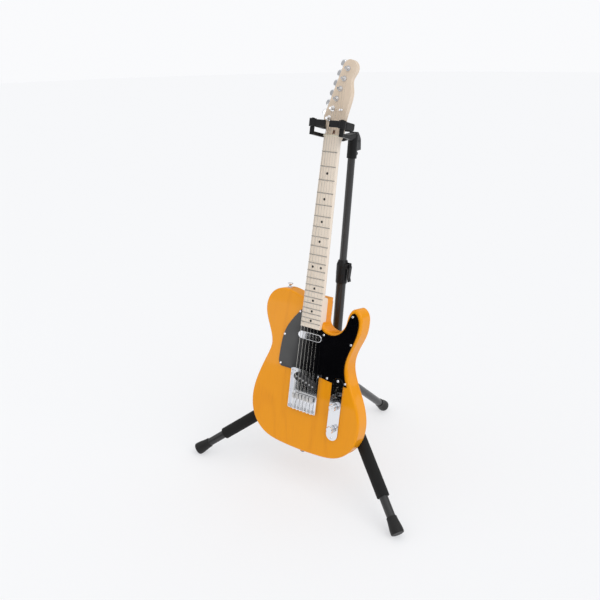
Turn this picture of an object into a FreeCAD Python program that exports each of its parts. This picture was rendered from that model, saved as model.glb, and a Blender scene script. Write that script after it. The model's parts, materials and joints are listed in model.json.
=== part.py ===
import FreeCAD, Part
import math
import os

# An electric guitar hanging in a tripod stand whose yoke closes by itself around the neck.
# Millimetres, +Z up. The frame's origin is on the floor, under the middle of the whole object.
# Guitar parts are drawn in the guitar's own frame and then hung in the stand:
#   x towards the treble side, y up the neck, z out of the face,
#   with y = 0 at the saddles and z = 0 on the body's face.
# Mast parts are drawn in the mast's frame: z up the leaning mast, origin at the leg hub's centre.

V = FreeCAD.Vector
ORIGIN = V(0, 0, 0)
AXIS_X = V(1, 0, 0)
AXIS_Y = V(0, 1, 0)
AXIS_Z = V(0, 0, 1)

# ---- clearances
RUNNING_FIT = 0.08        # radial, shafts and pins in their bores
SLIP = 0.3                # between pieces that only sit near each other
PART_GAP = 0.6            # between pieces that move past each other
REST_GAP = 0.5            # body's back to the foam sleeves

# ---- guitar: overall
SCALE_LENGTH = 648.0
NUT_WIDTH = 42.0
HEEL_WIDTH = 57.0
FRET_COUNT = 21
MARKED_FRETS = (3, 5, 7, 9, 12, 15, 17, 19, 21)
STRING_DIAMETERS = (1.17, 0.91, 0.66, 0.46, 0.36, 0.28)
STRING_SPREAD_AT_NUT = 35.0
STRING_SPREAD_AT_SADDLES = 53.0

# ---- guitar: body
BODY_THICKNESS = 44.5
BODY_EDGE_RADIUS = 5.0
BODY_END = 148.0          # tail below the saddle line
SHOULDER_TOP = 263.0      # bass shoulder above the saddle line
LOWER_BOUT_WIDTH = 331.0
BASS_BOUT_REACH = 147.5
BASS_WAIST_REACH = 119.5
TREBLE_WAIST_REACH = 113.0
HORN_REACH = 138.5
HORN_TOP = 251.0
CUTAWAY_BOTTOM = 179.5
BLOCK_TOP = 257.5         # end of the wood under the neck
BLOCK_INSET = 0.5         # that wood's side inside the neck's side

# ---- guitar: neck
FRETBOARD_HEIGHT = 9.5    # fretboard's face above the body's face
NECK_END_OVER_LAST_FRET = 12.0
POCKET_LENGTH = 76.0
POCKET_DEPTH = 16.0
SHAFT_DEPTH_AT_NUT = 20.5
SHAFT_DEPTH_AT_HEEL = 22.5
FRETBOARD_SIDE = 4.5      # straight side of the neck above its rounded back
HEADSTOCK_FACE = 0.2
HEADSTOCK_THICKNESS = 14.2
RAMP_RADIUS = 9.0
NUT_LENGTH = 3.3
FRET_WIDTH = 2.4
FRET_HEIGHT = 1.1
FRET_TANG = 0.6
MARKER_DIAMETER = 6.4
ROD_DIAMETER = 5.0
STRIPE_WIDTH = 6.0
PLUG_DIAMETER = 8.4

# ---- guitar: tuners
TUNER_COUNT = 6
TUNER_PITCH = 24.1
TUNER_ROW_ANGLE = 18.0    # degrees from the neck's line
FIRST_POST = V(-17.8, SCALE_LENGTH + 41.0, 0)
POST_DIAMETER = 6.0
POST_TOP = 13.0
BUSHING_DIAMETER = 10.0
BUSHING_FLANGE = 12.6
HOUSING_SIZE = (15.0, 20.0, 11.0)
WORM_DIAMETER = 5.0
WORM_OFFSET = 6.0
BUTTON_DISTANCE = 29.0
BUTTON_SIZE = (17.0, 13.0, 7.0)

# ---- guitar: fittings
GUARD_THICKNESS = 2.4
BRIDGE_WIDTH = 85.0
BRIDGE_TOP = 66.0
BRIDGE_BOTTOM = -39.0
BRIDGE_PLATE = 1.6
BRIDGE_WALL_HEIGHT = 8.5
BRIDGE_PICKUP_Y = 39.0
BRIDGE_PICKUP_SLANT = -16.5
BRIDGE_PICKUP_SIZE = (72.0, 20.0)
BRIDGE_PICKUP_TOP = 6.5
POLE_DIAMETER = 4.9
SADDLE_SIZE = (8.0, 14.0, 7.5)
SADDLE_TOP = 12.6
STRING_HOLE_OFFSET = 2.4  # string's hole in the bridge's rear wall, to the bass side
STRING_HOLE_HEIGHT = 5.4
NECK_PICKUP_Y = 157.5
NECK_PICKUP_SIZE = (70.0, 19.5)
NECK_PICKUP_TOP = 6.8
CONTROL_X = 95.0
CONTROL_TOP = 72.0
CONTROL_BOTTOM = -90.0
CONTROL_WIDTH = 32.5
CONTROL_PLATE = 1.8
CONTROL_SCREW_INSET = 6.5
SWITCH_Y = 36.0
LEVER_LENGTH = 22.0
SWITCH_THROW = 14.0       # degrees each way from the middle; drawn towards the tail
VOLUME_Y = -1.0
TONE_Y = -59.0
KNOB_DIAMETER = 19.0
KNOB_HEIGHT = 14.5
POT_SHAFT_DIAMETER = 6.0
JACK_X = 131.0
JACK_Y = -121.0
JACK_ANGLE = -44.0        # degrees, the side's outward direction in the face's plane
JACK_PLATE_SIZE = (42.0, 22.0)
JACK_PLATE_THICKNESS = 1.6
JACK_BORE = 6.5
NECK_PLATE_SIZE = (51.0, 64.0)
NECK_PLATE_THICKNESS = 1.8
STRAP_BUTTON_DIAMETER = 14.0
STRAP_BUTTON_HEIGHT = 11.5
SCREW_HEAD_DIAMETER = 6.2

# ---- guitar's place in the stand
GUITAR_TILT = 12.19       # degrees back from upright
GUITAR_HEIGHT = 246.0     # saddle line above the floor, on the body's face

# ---- stand
HUB_HEIGHT = 258.5
MAST_LEAN = 8.24          # degrees back from upright
FRONT_LEG_REACH = 375.9   # hub's middle to foot centre, seen from above
REAR_LEG_REACH = 280.9
FRONT_LEG_SPREAD = 55.95  # degrees either side of straight ahead
FOOT_CENTRE_HEIGHT = 16.0
LEG_TUBE_DIAMETER = 22.0
LEG_TUBE_WALL = 1.5
LEG_PIVOT_RADIUS = 34.0
LEG_ROOT = 8.0            # tube past its pivot pin
LEG_PIN_DIAMETER = 6.0
FOAM_DIAMETER = 32.0
FOAM_FROM_FOOT = 84.0
FOAM_TO_FOOT = 268.0
FOAM_UNDER_BODY = 1.2     # foam left where the body presses into it
CAP_SLEEVE_LENGTH = 33.0  # cap from its collar to the foot centre
CAP_PAST_CENTRE = 9.5
CAP_COLLAR_DIAMETER = 26.0
CAP_END_DIAMETER = 33.0
CAP_END_ROUNDING = 3.0
HUB_DIAMETER = 38.0
HUB_BELOW = 52.0
HUB_ABOVE = 14.0
LUG_THICKNESS = 5.0
LUG_HEIGHT = 34.0
MAST_DIAMETER = 25.0
MAST_WALL = 1.5
MAST_BELOW_HUB = 58.0
UPPER_MAST_DIAMETER = 19.0
UPPER_MAST_WALL = 1.5
UPPER_MAST_OVERLAP = 190.0
CLUTCH_FROM_HUB = 242.0
CLUTCH_HEIGHT = 62.0
CLUTCH_DIAMETER = 31.0
LEVER_REACH = 22.5        # clutch lever's outer face from the mast's axis
LEVER_WIDTH = 12.0
LEVER_DROP = 42.0

# ---- yoke, in the guitar's frame
YOKE_PITCH = 3.5          # degrees, arms rise towards the front
RAIL_Y = 649.5            # lower rails, where they pass the body's face plane
CRADLE_RISE = 24.0        # cradle above the rails
ARM_INNER = 25.4          # cradle arm's inner face from the neck's middle
ARM_WIDTH = 20.5
ARM_HEIGHT = 17.0
ARM_FRONT = 23.0
YOKE_BACK = -35.5
YOKE_BAR_DEPTH = 9.0
YOKE_CORNER = (30.0, 20.0)  # half widths of the crossbar's back and front, between its slants
YOKE_SLANT = 1.35         # how far the slants run forward for each millimetre outward
RAIL_WIDTH = 10.0
RAIL_HEIGHT = 8.0
RAIL_X = 41.0
GATE_Z = 33.0
GATE_HUB_DIAMETER = 17.0
GATE_PIN_DIAMETER = 7.0
GATE_FINGER = (15.5, 7.0)
GATE_TIP = 6.0            # finger's end from the neck's middle
GUIDE_DIAMETER = 5.0
CRADLE_TRAVEL = 8.0
SOCKET_DIAMETER = 25.0
SOCKET_BOTTOM = 815.0     # heights above the floor
SOCKET_TOP = 871.0
COVER_WIDTH = 22.0
COVER_BACK = 25.0         # behind the mast's axis
COVER_BOTTOM = 833.0
COVER_TOP = 878.0


# ---- small helpers
def box(x0, x1, y0, y1, z0, z1):
    return Part.makeBox(x1 - x0, y1 - y0, z1 - z0, V(x0, y0, z0))


def rod(radius, start, end):
    return Part.makeCylinder(radius, (end - start).Length, start, end - start)


def fuse_all(shapes):
    result = shapes[0]
    if len(shapes) > 1:
        result = result.fuse(shapes[1:])
    return result.removeSplitter()


def closed_face(edges):
    return Part.Face(Part.Wire(edges))


def line(a, b):
    return Part.LineSegment(a, b).toShape()


def arc(a, middle, b):
    return Part.Arc(a, middle, b).toShape()


def spline(points):
    curve = Part.BSplineCurve()
    curve.interpolate(Points=points)
    return curve.toShape()


def flat_points(pairs, z=0.0):
    return [V(x, y, z) for x, y in pairs]


def polygon_prism(pairs, z0, z1):
    points = flat_points(pairs, z0)
    face = Part.Face(Part.makePolygon(points + points[:1]))
    return face.extrude(V(0, 0, z1 - z0))


def capsule(length, width, z0, z1):
    # a bar with round ends, lying along x, centred on the origin
    r = width / 2
    e = length / 2 - r
    edges = [
        line(V(-e, -r, z0), V(e, -r, z0)),
        arc(V(e, -r, z0), V(e + r, 0, z0), V(e, r, z0)),
        line(V(e, r, z0), V(-e, r, z0)),
        arc(V(-e, r, z0), V(-e - r, 0, z0), V(-e, -r, z0)),
    ]
    return closed_face(edges).extrude(V(0, 0, z1 - z0))


def turned(profile, base, direction):
    # a solid of revolution from (radius, height) pairs that start and end on the axis
    points = [V(r, 0, h) for r, h in profile]
    face = Part.Face(Part.makePolygon(points + points[:1]))
    solid = face.revolve(ORIGIN, AXIS_Z, 360)
    solid.Placement = FreeCAD.Placement(base, FreeCAD.Rotation(AXIS_Z, direction))
    return solid


def moved(shape, offset):
    copy = shape.copy()
    copy.translate(offset)
    return copy


def turned_about(shape, centre, axis, degrees):
    copy = shape.copy()
    copy.rotate(centre, axis, degrees)
    return copy


def rounded_box(x0, x1, y0, y1, z0, z1, radius):
    block = box(x0, x1, y0, y1, z0, z1)
    return block.makeFillet(radius, block.Edges)


def screw(point, direction, head_diameter, shank_diameter, length, drive=True):
    # a domed cross-head screw whose head sits on point; direction points out of the work
    r = head_diameter / 2
    s = shank_diameter / 2
    head = 0.36 * head_diameter
    profile = [(0, -length), (s, -length + s), (s, 0), (r, 0), (r * 0.97, head * 0.35),
               (r * 0.72, head * 0.8), (r * 0.35, head), (0, head)]
    solid = turned(profile, ORIGIN, AXIS_Z)
    if drive:
        slot = head_diameter * 0.3
        cross = box(-slot, slot, -0.45, 0.45, head * 0.45, head + 1)
        cross = cross.fuse(box(-0.45, 0.45, -slot, slot, head * 0.45, head + 1))
        solid = solid.cut(cross)
    solid.Placement = FreeCAD.Placement(point, FreeCAD.Rotation(AXIS_Z, direction))
    return solid


def fret_y(number):
    return SCALE_LENGTH * 2 ** (-number / 12)


# ---- guitar sizes that follow from the driving ones
NECK_END = fret_y(FRET_COUNT) - NECK_END_OVER_LAST_FRET
POCKET_TOP = NECK_END + POCKET_LENGTH
ROW = V(math.sin(math.radians(TUNER_ROW_ANGLE)), math.cos(math.radians(TUNER_ROW_ANGLE)), 0)
OUTWARD = V(-ROW.y, ROW.x, 0)
HEADSTOCK_BACK = HEADSTOCK_FACE - HEADSTOCK_THICKNESS
NUT_FRONT = SCALE_LENGTH
NUT_BACK = SCALE_LENGTH + NUT_LENGTH
WORM_Z = HEADSTOCK_BACK - HOUSING_SIZE[2] / 2


def neck_width(y):
    share = (SCALE_LENGTH - y) / (SCALE_LENGTH - NECK_END)
    return NUT_WIDTH + (HEEL_WIDTH - NUT_WIDTH) * share


def post_place(index):
    return FIRST_POST + ROW * (TUNER_PITCH * index)


def string_x(index, spread):
    return -spread / 2 + spread * index / (TUNER_COUNT - 1)


# ---- guitar body
def body_outline_edges():
    lower = LOWER_BOUT_WIDTH / 2
    meet = CUTAWAY_BOTTOM + 26
    lip = neck_width(meet) / 2 - BLOCK_INSET
    block = neck_width(BLOCK_TOP) / 2 - BLOCK_INSET
    start = V(-block - 1, SHOULDER_TOP - 14, 0)
    points = flat_points([
        (-62, SHOULDER_TOP - 4), (-94, SHOULDER_TOP), (-BASS_BOUT_REACH + 15, SHOULDER_TOP - 17),
        (-BASS_BOUT_REACH, SHOULDER_TOP - 53), (-BASS_BOUT_REACH + 11, SHOULDER_TOP - 98),
        (-BASS_WAIST_REACH, 114), (-BASS_WAIST_REACH - 12, 74), (-lower + 12, 18),
        (-lower, -46), (-lower + 17, -105), (-112, -BODY_END + 13), (-58, -BODY_END + 2),
        (0, -BODY_END), (58, -BODY_END + 2), (112, -BODY_END + 13), (lower - 17, -105),
        (lower, -46), (lower - 12, 8), (TREBLE_WAIST_REACH + 12, 66), (TREBLE_WAIST_REACH, 110),
        (TREBLE_WAIST_REACH + 11, 155), (HORN_REACH - 3, 186), (HORN_REACH, 214),
        (HORN_REACH - 7, HORN_TOP - 9), (HORN_REACH - 22, HORN_TOP),
        (HORN_REACH - 37, HORN_TOP - 13), (HORN_REACH - 46, CUTAWAY_BOTTOM + 23),
        (HORN_REACH - 59, CUTAWAY_BOTTOM + 7), (HORN_REACH - 74, CUTAWAY_BOTTOM),
        (HORN_REACH - 90, CUTAWAY_BOTTOM + 1), (HORN_REACH - 103, CUTAWAY_BOTTOM + 8),
        (lip, meet)])
    corner = V(block, BLOCK_TOP, 0)
    close = V(-block, BLOCK_TOP, 0)
    return [spline([start] + points), line(points[-1], corner),
            line(corner, close), line(close, start)]


def body_prism():
    face = closed_face(body_outline_edges())
    solid = face.extrude(V(0, 0, -BODY_THICKNESS))
    return solid


def rounded_body():
    solid = body_prism()
    long_edges = [e for e in solid.Edges
                  if e.Length > 300 and abs(e.BoundBox.ZMax - e.BoundBox.ZMin) < 0.01]
    return solid.makeFillet(BODY_EDGE_RADIUS, long_edges)


def pocket_tool():
    half_low = neck_width(NECK_END) / 2 + 0.15
    half_high = neck_width(POCKET_TOP + 30) / 2 + 0.15
    pairs = [(-half_low, NECK_END - 0.15), (half_low, NECK_END - 0.15),
             (half_high, POCKET_TOP + 30), (-half_high, POCKET_TOP + 30)]
    return polygon_prism(pairs, -POCKET_DEPTH, 30)


def control_middle():
    return V(CONTROL_X, (CONTROL_TOP + CONTROL_BOTTOM) / 2, 0)


def control_shape(width, inset, z0, z1):
    length = CONTROL_TOP - CONTROL_BOTTOM - 2 * inset
    bar = capsule(length, width, z0, z1)
    bar.rotate(ORIGIN, AXIS_Z, 90)
    return moved(bar, control_middle())


def slanted(shape):
    shape.rotate(ORIGIN, AXIS_Z, BRIDGE_PICKUP_SLANT)
    return moved(shape, V(0, BRIDGE_PICKUP_Y, 0))


def jack_placement():
    out = V(math.cos(math.radians(JACK_ANGLE)), math.sin(math.radians(JACK_ANGLE)), 0)
    along = V(-out.y, out.x, 0)
    rotation = FreeCAD.Rotation(along, AXIS_Z.negative(), out, "ZXY")
    return FreeCAD.Placement(V(JACK_X, JACK_Y, -BODY_THICKNESS / 2), rotation)


def at_jack(shape):
    return shape.transformed(jack_placement().toMatrix())


def strap_button_spots():
    middle = -BODY_THICKNESS / 2
    return [(V(-94, SHOULDER_TOP, middle), AXIS_Y), (V(0, -BODY_END, middle), AXIS_Y.negative())]


def guard_screw_spots():
    return flat_points([(-38, 214), (-78, 146), (-82, 68), (38.5, 170), (113, 232), (118, 163),
                        (62, 64), (115, 63)], GUARD_THICKNESS)


def bridge_screw_spots():
    inset = BRIDGE_WIDTH / 2 - 6.0
    return flat_points([(-inset, 60), (inset, 60), (-inset, BRIDGE_BOTTOM + 6.0),
                        (inset, BRIDGE_BOTTOM + 6.0)], BRIDGE_PLATE)


def control_screw_spots():
    z = CONTROL_PLATE + GUARD_THICKNESS
    return [V(CONTROL_X, CONTROL_TOP - CONTROL_SCREW_INSET, z),
            V(CONTROL_X, CONTROL_BOTTOM + CONTROL_SCREW_INSET, z)]


def make_body():
    body = ROUNDED_BODY
    cuts = [pocket_tool()]
    cuts.append(control_shape(22.0, 13.5, -36, 1))
    cuts.append(moved(capsule(78, 24, -16, 1), V(0, NECK_PICKUP_Y, 0)))
    cuts.append(slanted(capsule(84, 33, -18, 1)))
    cuts.append(rod(4.0, V(0, NECK_PICKUP_Y, -12), V(0, BRIDGE_PICKUP_Y, -12)))
    cuts.append(rod(4.0, V(20, BRIDGE_PICKUP_Y, -13), V(CONTROL_X, SWITCH_Y, -20)))
    recess = capsule(JACK_PLATE_SIZE[0] + 2 * SLIP, JACK_PLATE_SIZE[1] + 2 * SLIP, -4.0, 20)
    cuts.append(at_jack(recess))
    cuts.append(at_jack(rod(10.0, V(0, 0, 10), V(0, 0, -48))))
    for spot, out in strap_button_spots():
        cuts.append(rod(1.9, spot + out, spot - out * 24))
        cuts.append(rod(STRAP_BUTTON_DIAMETER / 2 + 0.3, spot, spot + out * 6))
    for spot in guard_screw_spots() + bridge_screw_spots():
        cuts.append(rod(1.3, V(spot.x, spot.y, 1), V(spot.x, spot.y, -13)))
    for spot in control_screw_spots():
        cuts.append(rod(1.3, V(spot.x, spot.y, 1), V(spot.x, spot.y, -13)))
    for spot in neck_screw_spots():
        cuts.append(rod(2.4, V(spot.x, spot.y, -BODY_THICKNESS - 1), V(spot.x, spot.y, 0)))
    for spot in jack_screw_spots():
        cuts.append(at_jack(rod(1.3, spot, spot - AXIS_Z * 15)))
    return body.cut(cuts)


# ---- neck
def neck_section(y, width, top, bottom, side, flat):
    # flat top, short straight sides and a rounded back; flat = how square the back is
    half = width / 2
    shoulder = top - side
    middle_left = V(-half * flat, y, bottom + (shoulder - bottom) * (1 - flat) * 0.55)
    middle_right = V(half * flat, y, middle_left.z)
    back = Part.BSplineCurve()
    back.interpolate(Points=[V(half, y, shoulder), middle_right, V(0, y, bottom), middle_left,
                             V(-half, y, shoulder)])
    return Part.Wire([line(V(-half, y, shoulder), V(-half, y, top)),
                      line(V(-half, y, top), V(half, y, top)),
                      line(V(half, y, top), V(half, y, shoulder)),
                      back.toShape()])


def headstock_pairs():
    y = SCALE_LENGTH
    half = NUT_WIDTH / 2
    return {
        "bass_flare": [(-half, y + 2), (-half - 1.2, y + 12), (-half - 5.5, y + 25),
                       (-half - 10.3, y + 34), (-half - 11.6, y + 42), (-half - 8.6, y + 56)],
        "tip": [(4.0, y + 159), (8.5, y + 169.5), (19, y + 176), (32.5, y + 173.5), (41.0, y + 161),
                (39.0, y + 147), (31.5, y + 134), (31.0, y + 121), (34.5, y + 105),
                (33.0, y + 84), (27.0, y + 58), (half + 1.2, y + 30), (half, y + 2)],
    }


def make_headstock():
    pairs = headstock_pairs()
    flare = flat_points(pairs["bass_flare"], HEADSTOCK_BACK)
    tip = flat_points(pairs["tip"], HEADSTOCK_BACK)
    edges = [spline(flare), line(flare[-1], tip[0]), spline(tip), line(tip[-1], flare[0])]
    return closed_face(edges).extrude(V(0, 0, HEADSTOCK_THICKNESS))


def make_ramp():
    # the curved step from the fretboard's level down to the headstock's face
    half = NUT_WIDTH / 2
    end = NUT_BACK + 1.0 + RAMP_RADIUS
    block = box(-half, half, NUT_FRONT - 4, end, HEADSTOCK_BACK + 6, FRETBOARD_HEIGHT)
    hollow = rod(RAMP_RADIUS, V(-half - 1, end, HEADSTOCK_FACE + RAMP_RADIUS),
                 V(half + 1, end, HEADSTOCK_FACE + RAMP_RADIUS))
    above = box(-half - 1, half + 1, NUT_BACK + 1.0, end + 1,
                HEADSTOCK_FACE + RAMP_RADIUS, FRETBOARD_HEIGHT + 5)
    return block.cut([hollow, above])


def shaft_bottom(y):
    share = (SCALE_LENGTH - y) / (SCALE_LENGTH - POCKET_TOP)
    depth = SHAFT_DEPTH_AT_NUT + (SHAFT_DEPTH_AT_HEEL - SHAFT_DEPTH_AT_NUT) * share
    return FRETBOARD_HEIGHT - depth


def make_shaft():
    low = POCKET_TOP - 6
    high = SCALE_LENGTH - 14
    joint = SCALE_LENGTH + 12
    low_wire = neck_section(low, neck_width(low), FRETBOARD_HEIGHT, shaft_bottom(low),
                            FRETBOARD_SIDE, 0.72)
    high_wire = neck_section(high, neck_width(high), FRETBOARD_HEIGHT, shaft_bottom(high),
                             FRETBOARD_SIDE, 0.72)
    joint_wire = neck_section(joint, NUT_WIDTH, HEADSTOCK_FACE, HEADSTOCK_BACK + 0.4, 2.0, 0.93)
    high_low_top = neck_section(high, neck_width(high), HEADSTOCK_FACE, shaft_bottom(high),
                                1.0, 0.72)
    shaft = Part.makeLoft([low_wire, high_wire], True, True)
    blend = Part.makeLoft([high_low_top, joint_wire], True, True)
    widths = [(-neck_width(high) / 2, high), (neck_width(high) / 2, high),
              (NUT_WIDTH / 2, SCALE_LENGTH), (-NUT_WIDTH / 2, SCALE_LENGTH)]
    cap_to_nut = polygon_prism(widths, HEADSTOCK_FACE - 3, FRETBOARD_HEIGHT)
    return [shaft, blend, cap_to_nut]


def make_heel():
    end = POCKET_TOP + 4
    pairs = [(-neck_width(NECK_END) / 2, NECK_END), (neck_width(NECK_END) / 2, NECK_END),
             (neck_width(end) / 2, end), (-neck_width(end) / 2, end)]
    heel = polygon_prism(pairs, -POCKET_DEPTH, FRETBOARD_HEIGHT)
    lower_end = [e for e in heel.Edges if abs(e.CenterOfMass.y - end) < 0.01
                 and abs(e.CenterOfMass.z + POCKET_DEPTH) < 0.01]
    return heel.makeFillet(9.0, lower_end)


def neck_blank():
    return fuse_all([make_heel()] + make_shaft() + [make_ramp(), make_headstock()])


def stripe_tool():
    return box(-STRIPE_WIDTH / 2, STRIPE_WIDTH / 2, POCKET_TOP + 20, SCALE_LENGTH - 30, -40, -4.5)


def plug_tool():
    middle = HEADSTOCK_FACE + 3.2
    return rod(PLUG_DIAMETER / 2, V(0, NUT_BACK + 3.0, middle), V(0, NUT_BACK + 12.0, middle))


def rod_channel():
    half = ROD_DIAMETER / 2 + 0.4
    return box(-half, half, NECK_END + 14, NUT_BACK + 2.9, -4.4, 1.6)


def nut_slot():
    half = NUT_WIDTH / 2 + 2
    return box(-half, half, NUT_FRONT, NUT_BACK, FRETBOARD_HEIGHT - 3.5, FRETBOARD_HEIGHT + 9)


def fret_slots():
    tools = []
    for number in range(1, FRET_COUNT + 1):
        y = fret_y(number)
        half = neck_width(y) / 2 + 1
        tools.append(box(-half, half, y - FRET_TANG / 2, y + FRET_TANG / 2,
                         FRETBOARD_HEIGHT - 1.8, FRETBOARD_HEIGHT + 1))
    return tools


def marker_spots():
    spots = []
    for number in MARKED_FRETS:
        y = (fret_y(number) + fret_y(number - 1)) / 2
        offsets = (-12.0, 12.0) if number == 12 else (0.0,)
        spots += [V(x, y, FRETBOARD_HEIGHT) for x in offsets]
    return spots


def marker_tools():
    return [rod(MARKER_DIAMETER / 2, spot - AXIS_Z * 1.6, spot) for spot in marker_spots()]


def neck_plate_middle():
    return (NECK_END + BLOCK_TOP) / 2 - 2


def neck_screw_spots():
    half_x = NECK_PLATE_SIZE[0] / 2 - 7
    half_y = NECK_PLATE_SIZE[1] / 2 - 7
    middle = neck_plate_middle()
    return [V(sx * half_x, middle + sy * half_y, -BODY_THICKNESS - NECK_PLATE_THICKNESS)
            for sx in (-1, 1) for sy in (-1, 1)]


def make_neck(blank):
    cuts = [stripe_tool(), plug_tool(), rod_channel(), nut_slot()]
    cuts += fret_slots() + marker_tools()
    for index in range(TUNER_COUNT):
        spot = post_place(index)
        cuts.append(rod(BUSHING_DIAMETER / 2 + 0.05, spot + AXIS_Z * (HEADSTOCK_BACK - 1),
                        spot + AXIS_Z * (HEADSTOCK_FACE + 1)))
    for spot in neck_screw_spots():
        cuts.append(rod(1.9, V(spot.x, spot.y, -POCKET_DEPTH - 1), V(spot.x, spot.y, 0)))
    tree = tree_spot()
    cuts.append(rod(1.0, tree + AXIS_Z, tree - AXIS_Z * 8))
    return blank.cut(cuts)


def make_frets():
    frets = []
    for number in range(1, FRET_COUNT + 1):
        y = fret_y(number)
        half = neck_width(y) / 2 - 0.3
        radius = (FRET_WIDTH ** 2 / 4 + FRET_HEIGHT ** 2) / (2 * FRET_HEIGHT)
        middle = FRETBOARD_HEIGHT + FRET_HEIGHT - radius
        crown = rod(radius, V(-half, y, middle), V(half, y, middle))
        crown = crown.common(box(-half, half, y - 3, y + 3, FRETBOARD_HEIGHT, FRETBOARD_HEIGHT + 3))
        tang = box(-half, half, y - FRET_TANG / 2, y + FRET_TANG / 2,
                   FRETBOARD_HEIGHT - 1.7, FRETBOARD_HEIGHT + 0.3)
        frets.append(fuse_all([crown, tang]))
    return Part.makeCompound(frets)


def nut_string_height():
    return FRETBOARD_HEIGHT + FRET_HEIGHT + 0.7


def make_nut():
    top = FRETBOARD_HEIGHT + 3.0
    nut = box(-NUT_WIDTH / 2, NUT_WIDTH / 2, NUT_FRONT, NUT_BACK, FRETBOARD_HEIGHT - 3.5, top)
    crest = [e for e in nut.Edges if abs(e.CenterOfMass.z - top) < 0.01]
    nut = nut.makeFillet(0.8, crest)
    cuts = []
    for index, diameter in enumerate(STRING_DIAMETERS):
        x = string_x(index, STRING_SPREAD_AT_NUT)
        half = diameter / 2 + 0.06
        floor = nut_string_height() - half
        cuts.append(box(x - half, x + half, NUT_FRONT - 1, NUT_BACK + 1, floor, top + 1))
    return nut.cut(cuts)


def make_truss_rod():
    middle = (-4.4 + 1.6) / 2
    bar = rod(ROD_DIAMETER / 2, V(0, NECK_END + 16, middle), V(0, NUT_BACK + 1.5, middle))
    return bar


# ---- tuners
def post_column(index, radius, z0, z1):
    spot = post_place(index)
    return rod(radius, spot + AXIS_Z * z0, spot + AXIS_Z * z1)


def worm_line(index, start, end):
    # a point pair along the button shaft, measured outwards from the post
    base = post_place(index) + ROW * WORM_OFFSET + AXIS_Z * WORM_Z
    return base + OUTWARD * start, base + OUTWARD * end


def in_row(shape, index, lift):
    # put a shape drawn with x outwards and y along the row at a tuner
    rotation = FreeCAD.Rotation(OUTWARD, ROW.negative(), AXIS_Z, "XZY")
    matrix = FreeCAD.Placement(post_place(index) + AXIS_Z * lift, rotation).toMatrix()
    return shape.transformed(matrix)


def make_housing(index):
    along, across, depth = HOUSING_SIZE
    shell = rounded_box(-across / 2 + 2, across / 2 + 2, -along / 2 - 2, along / 2 - 2,
                        HEADSTOCK_BACK - depth, HEADSTOCK_BACK, 1.6)
    shell = in_row(shell, index, 0)
    start, end = worm_line(index, across / 2 + 1, across / 2 + 5)
    boss = rod(WORM_DIAMETER / 2 + 1.6, start, end)
    neck = post_column(index, BUSHING_DIAMETER / 2, HEADSTOCK_BACK - 2, HEADSTOCK_FACE + 1)
    flange = post_column(index, BUSHING_FLANGE / 2, HEADSTOCK_FACE, HEADSTOCK_FACE + 1.8)
    collar = turned([(0, 0), (BUSHING_DIAMETER / 2 - 0.2, 0), (POST_DIAMETER / 2 + 0.8, 2.2), (0, 2.2)],
                    post_place(index) + AXIS_Z * (HEADSTOCK_FACE + 1.8), AXIS_Z)
    solid = fuse_all([shell, boss, neck, flange, collar])
    bore = post_column(index, POST_DIAMETER / 2 + RUNNING_FIT, HEADSTOCK_BACK - depth + 2, 20)
    start, end = worm_line(index, -7, across / 2 + 8)
    worm = rod(WORM_DIAMETER / 2 + RUNNING_FIT, start, end)
    return solid.cut([bore, worm])


def make_post(index):
    depth = HOUSING_SIZE[2]
    waist = POST_DIAMETER / 2 - 0.7
    profile = [(0, HEADSTOCK_BACK - depth + 2.1), (POST_DIAMETER / 2, HEADSTOCK_BACK - depth + 2.1),
               (POST_DIAMETER / 2, HEADSTOCK_FACE + 5), (waist, HEADSTOCK_FACE + 6),
               (waist, POST_TOP - 3), (POST_DIAMETER / 2, POST_TOP - 2), (POST_DIAMETER / 2, POST_TOP),
               (0, POST_TOP)]
    post = turned(profile, post_place(index), AXIS_Z)
    slot = box(-0.7, 0.7, -5, 5, POST_TOP - 1.6, POST_TOP + 1)
    slot = moved(turned_about(slot, ORIGIN, AXIS_Z, 30 + 25 * index), post_place(index))
    return post.cut(slot)


def make_button(index):
    start, end = worm_line(index, -6.5, BUTTON_DISTANCE)
    shaft = rod(WORM_DIAMETER / 2, start, end)
    length, width, thickness = BUTTON_SIZE
    ellipse = Part.Ellipse(ORIGIN, length / 2, width / 2)
    blade = Part.Face(Part.Wire(ellipse.toShape())).extrude(V(0, 0, thickness))
    blade = blade.makeFillet(thickness * 0.32, [e for e in blade.Edges if e.Closed])
    blade.translate(V(0, 0, -thickness / 2))
    rotation = FreeCAD.Rotation(ROW, OUTWARD, AXIS_Z, "XYZ")
    blade = blade.transformed(FreeCAD.Placement(end, rotation).toMatrix())
    collar_start, collar_end = worm_line(index, BUTTON_DISTANCE - width / 2 - 3.5, BUTTON_DISTANCE - 3)
    collar = rod(WORM_DIAMETER / 2 + 1.2, collar_start, collar_end)
    return fuse_all([shaft, blade, collar])


# ---- strings
def saddle_height():
    return SADDLE_TOP + 0.3


def tree_spot():
    return V(15.0, SCALE_LENGTH + 62.0, HEADSTOCK_FACE)


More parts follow.
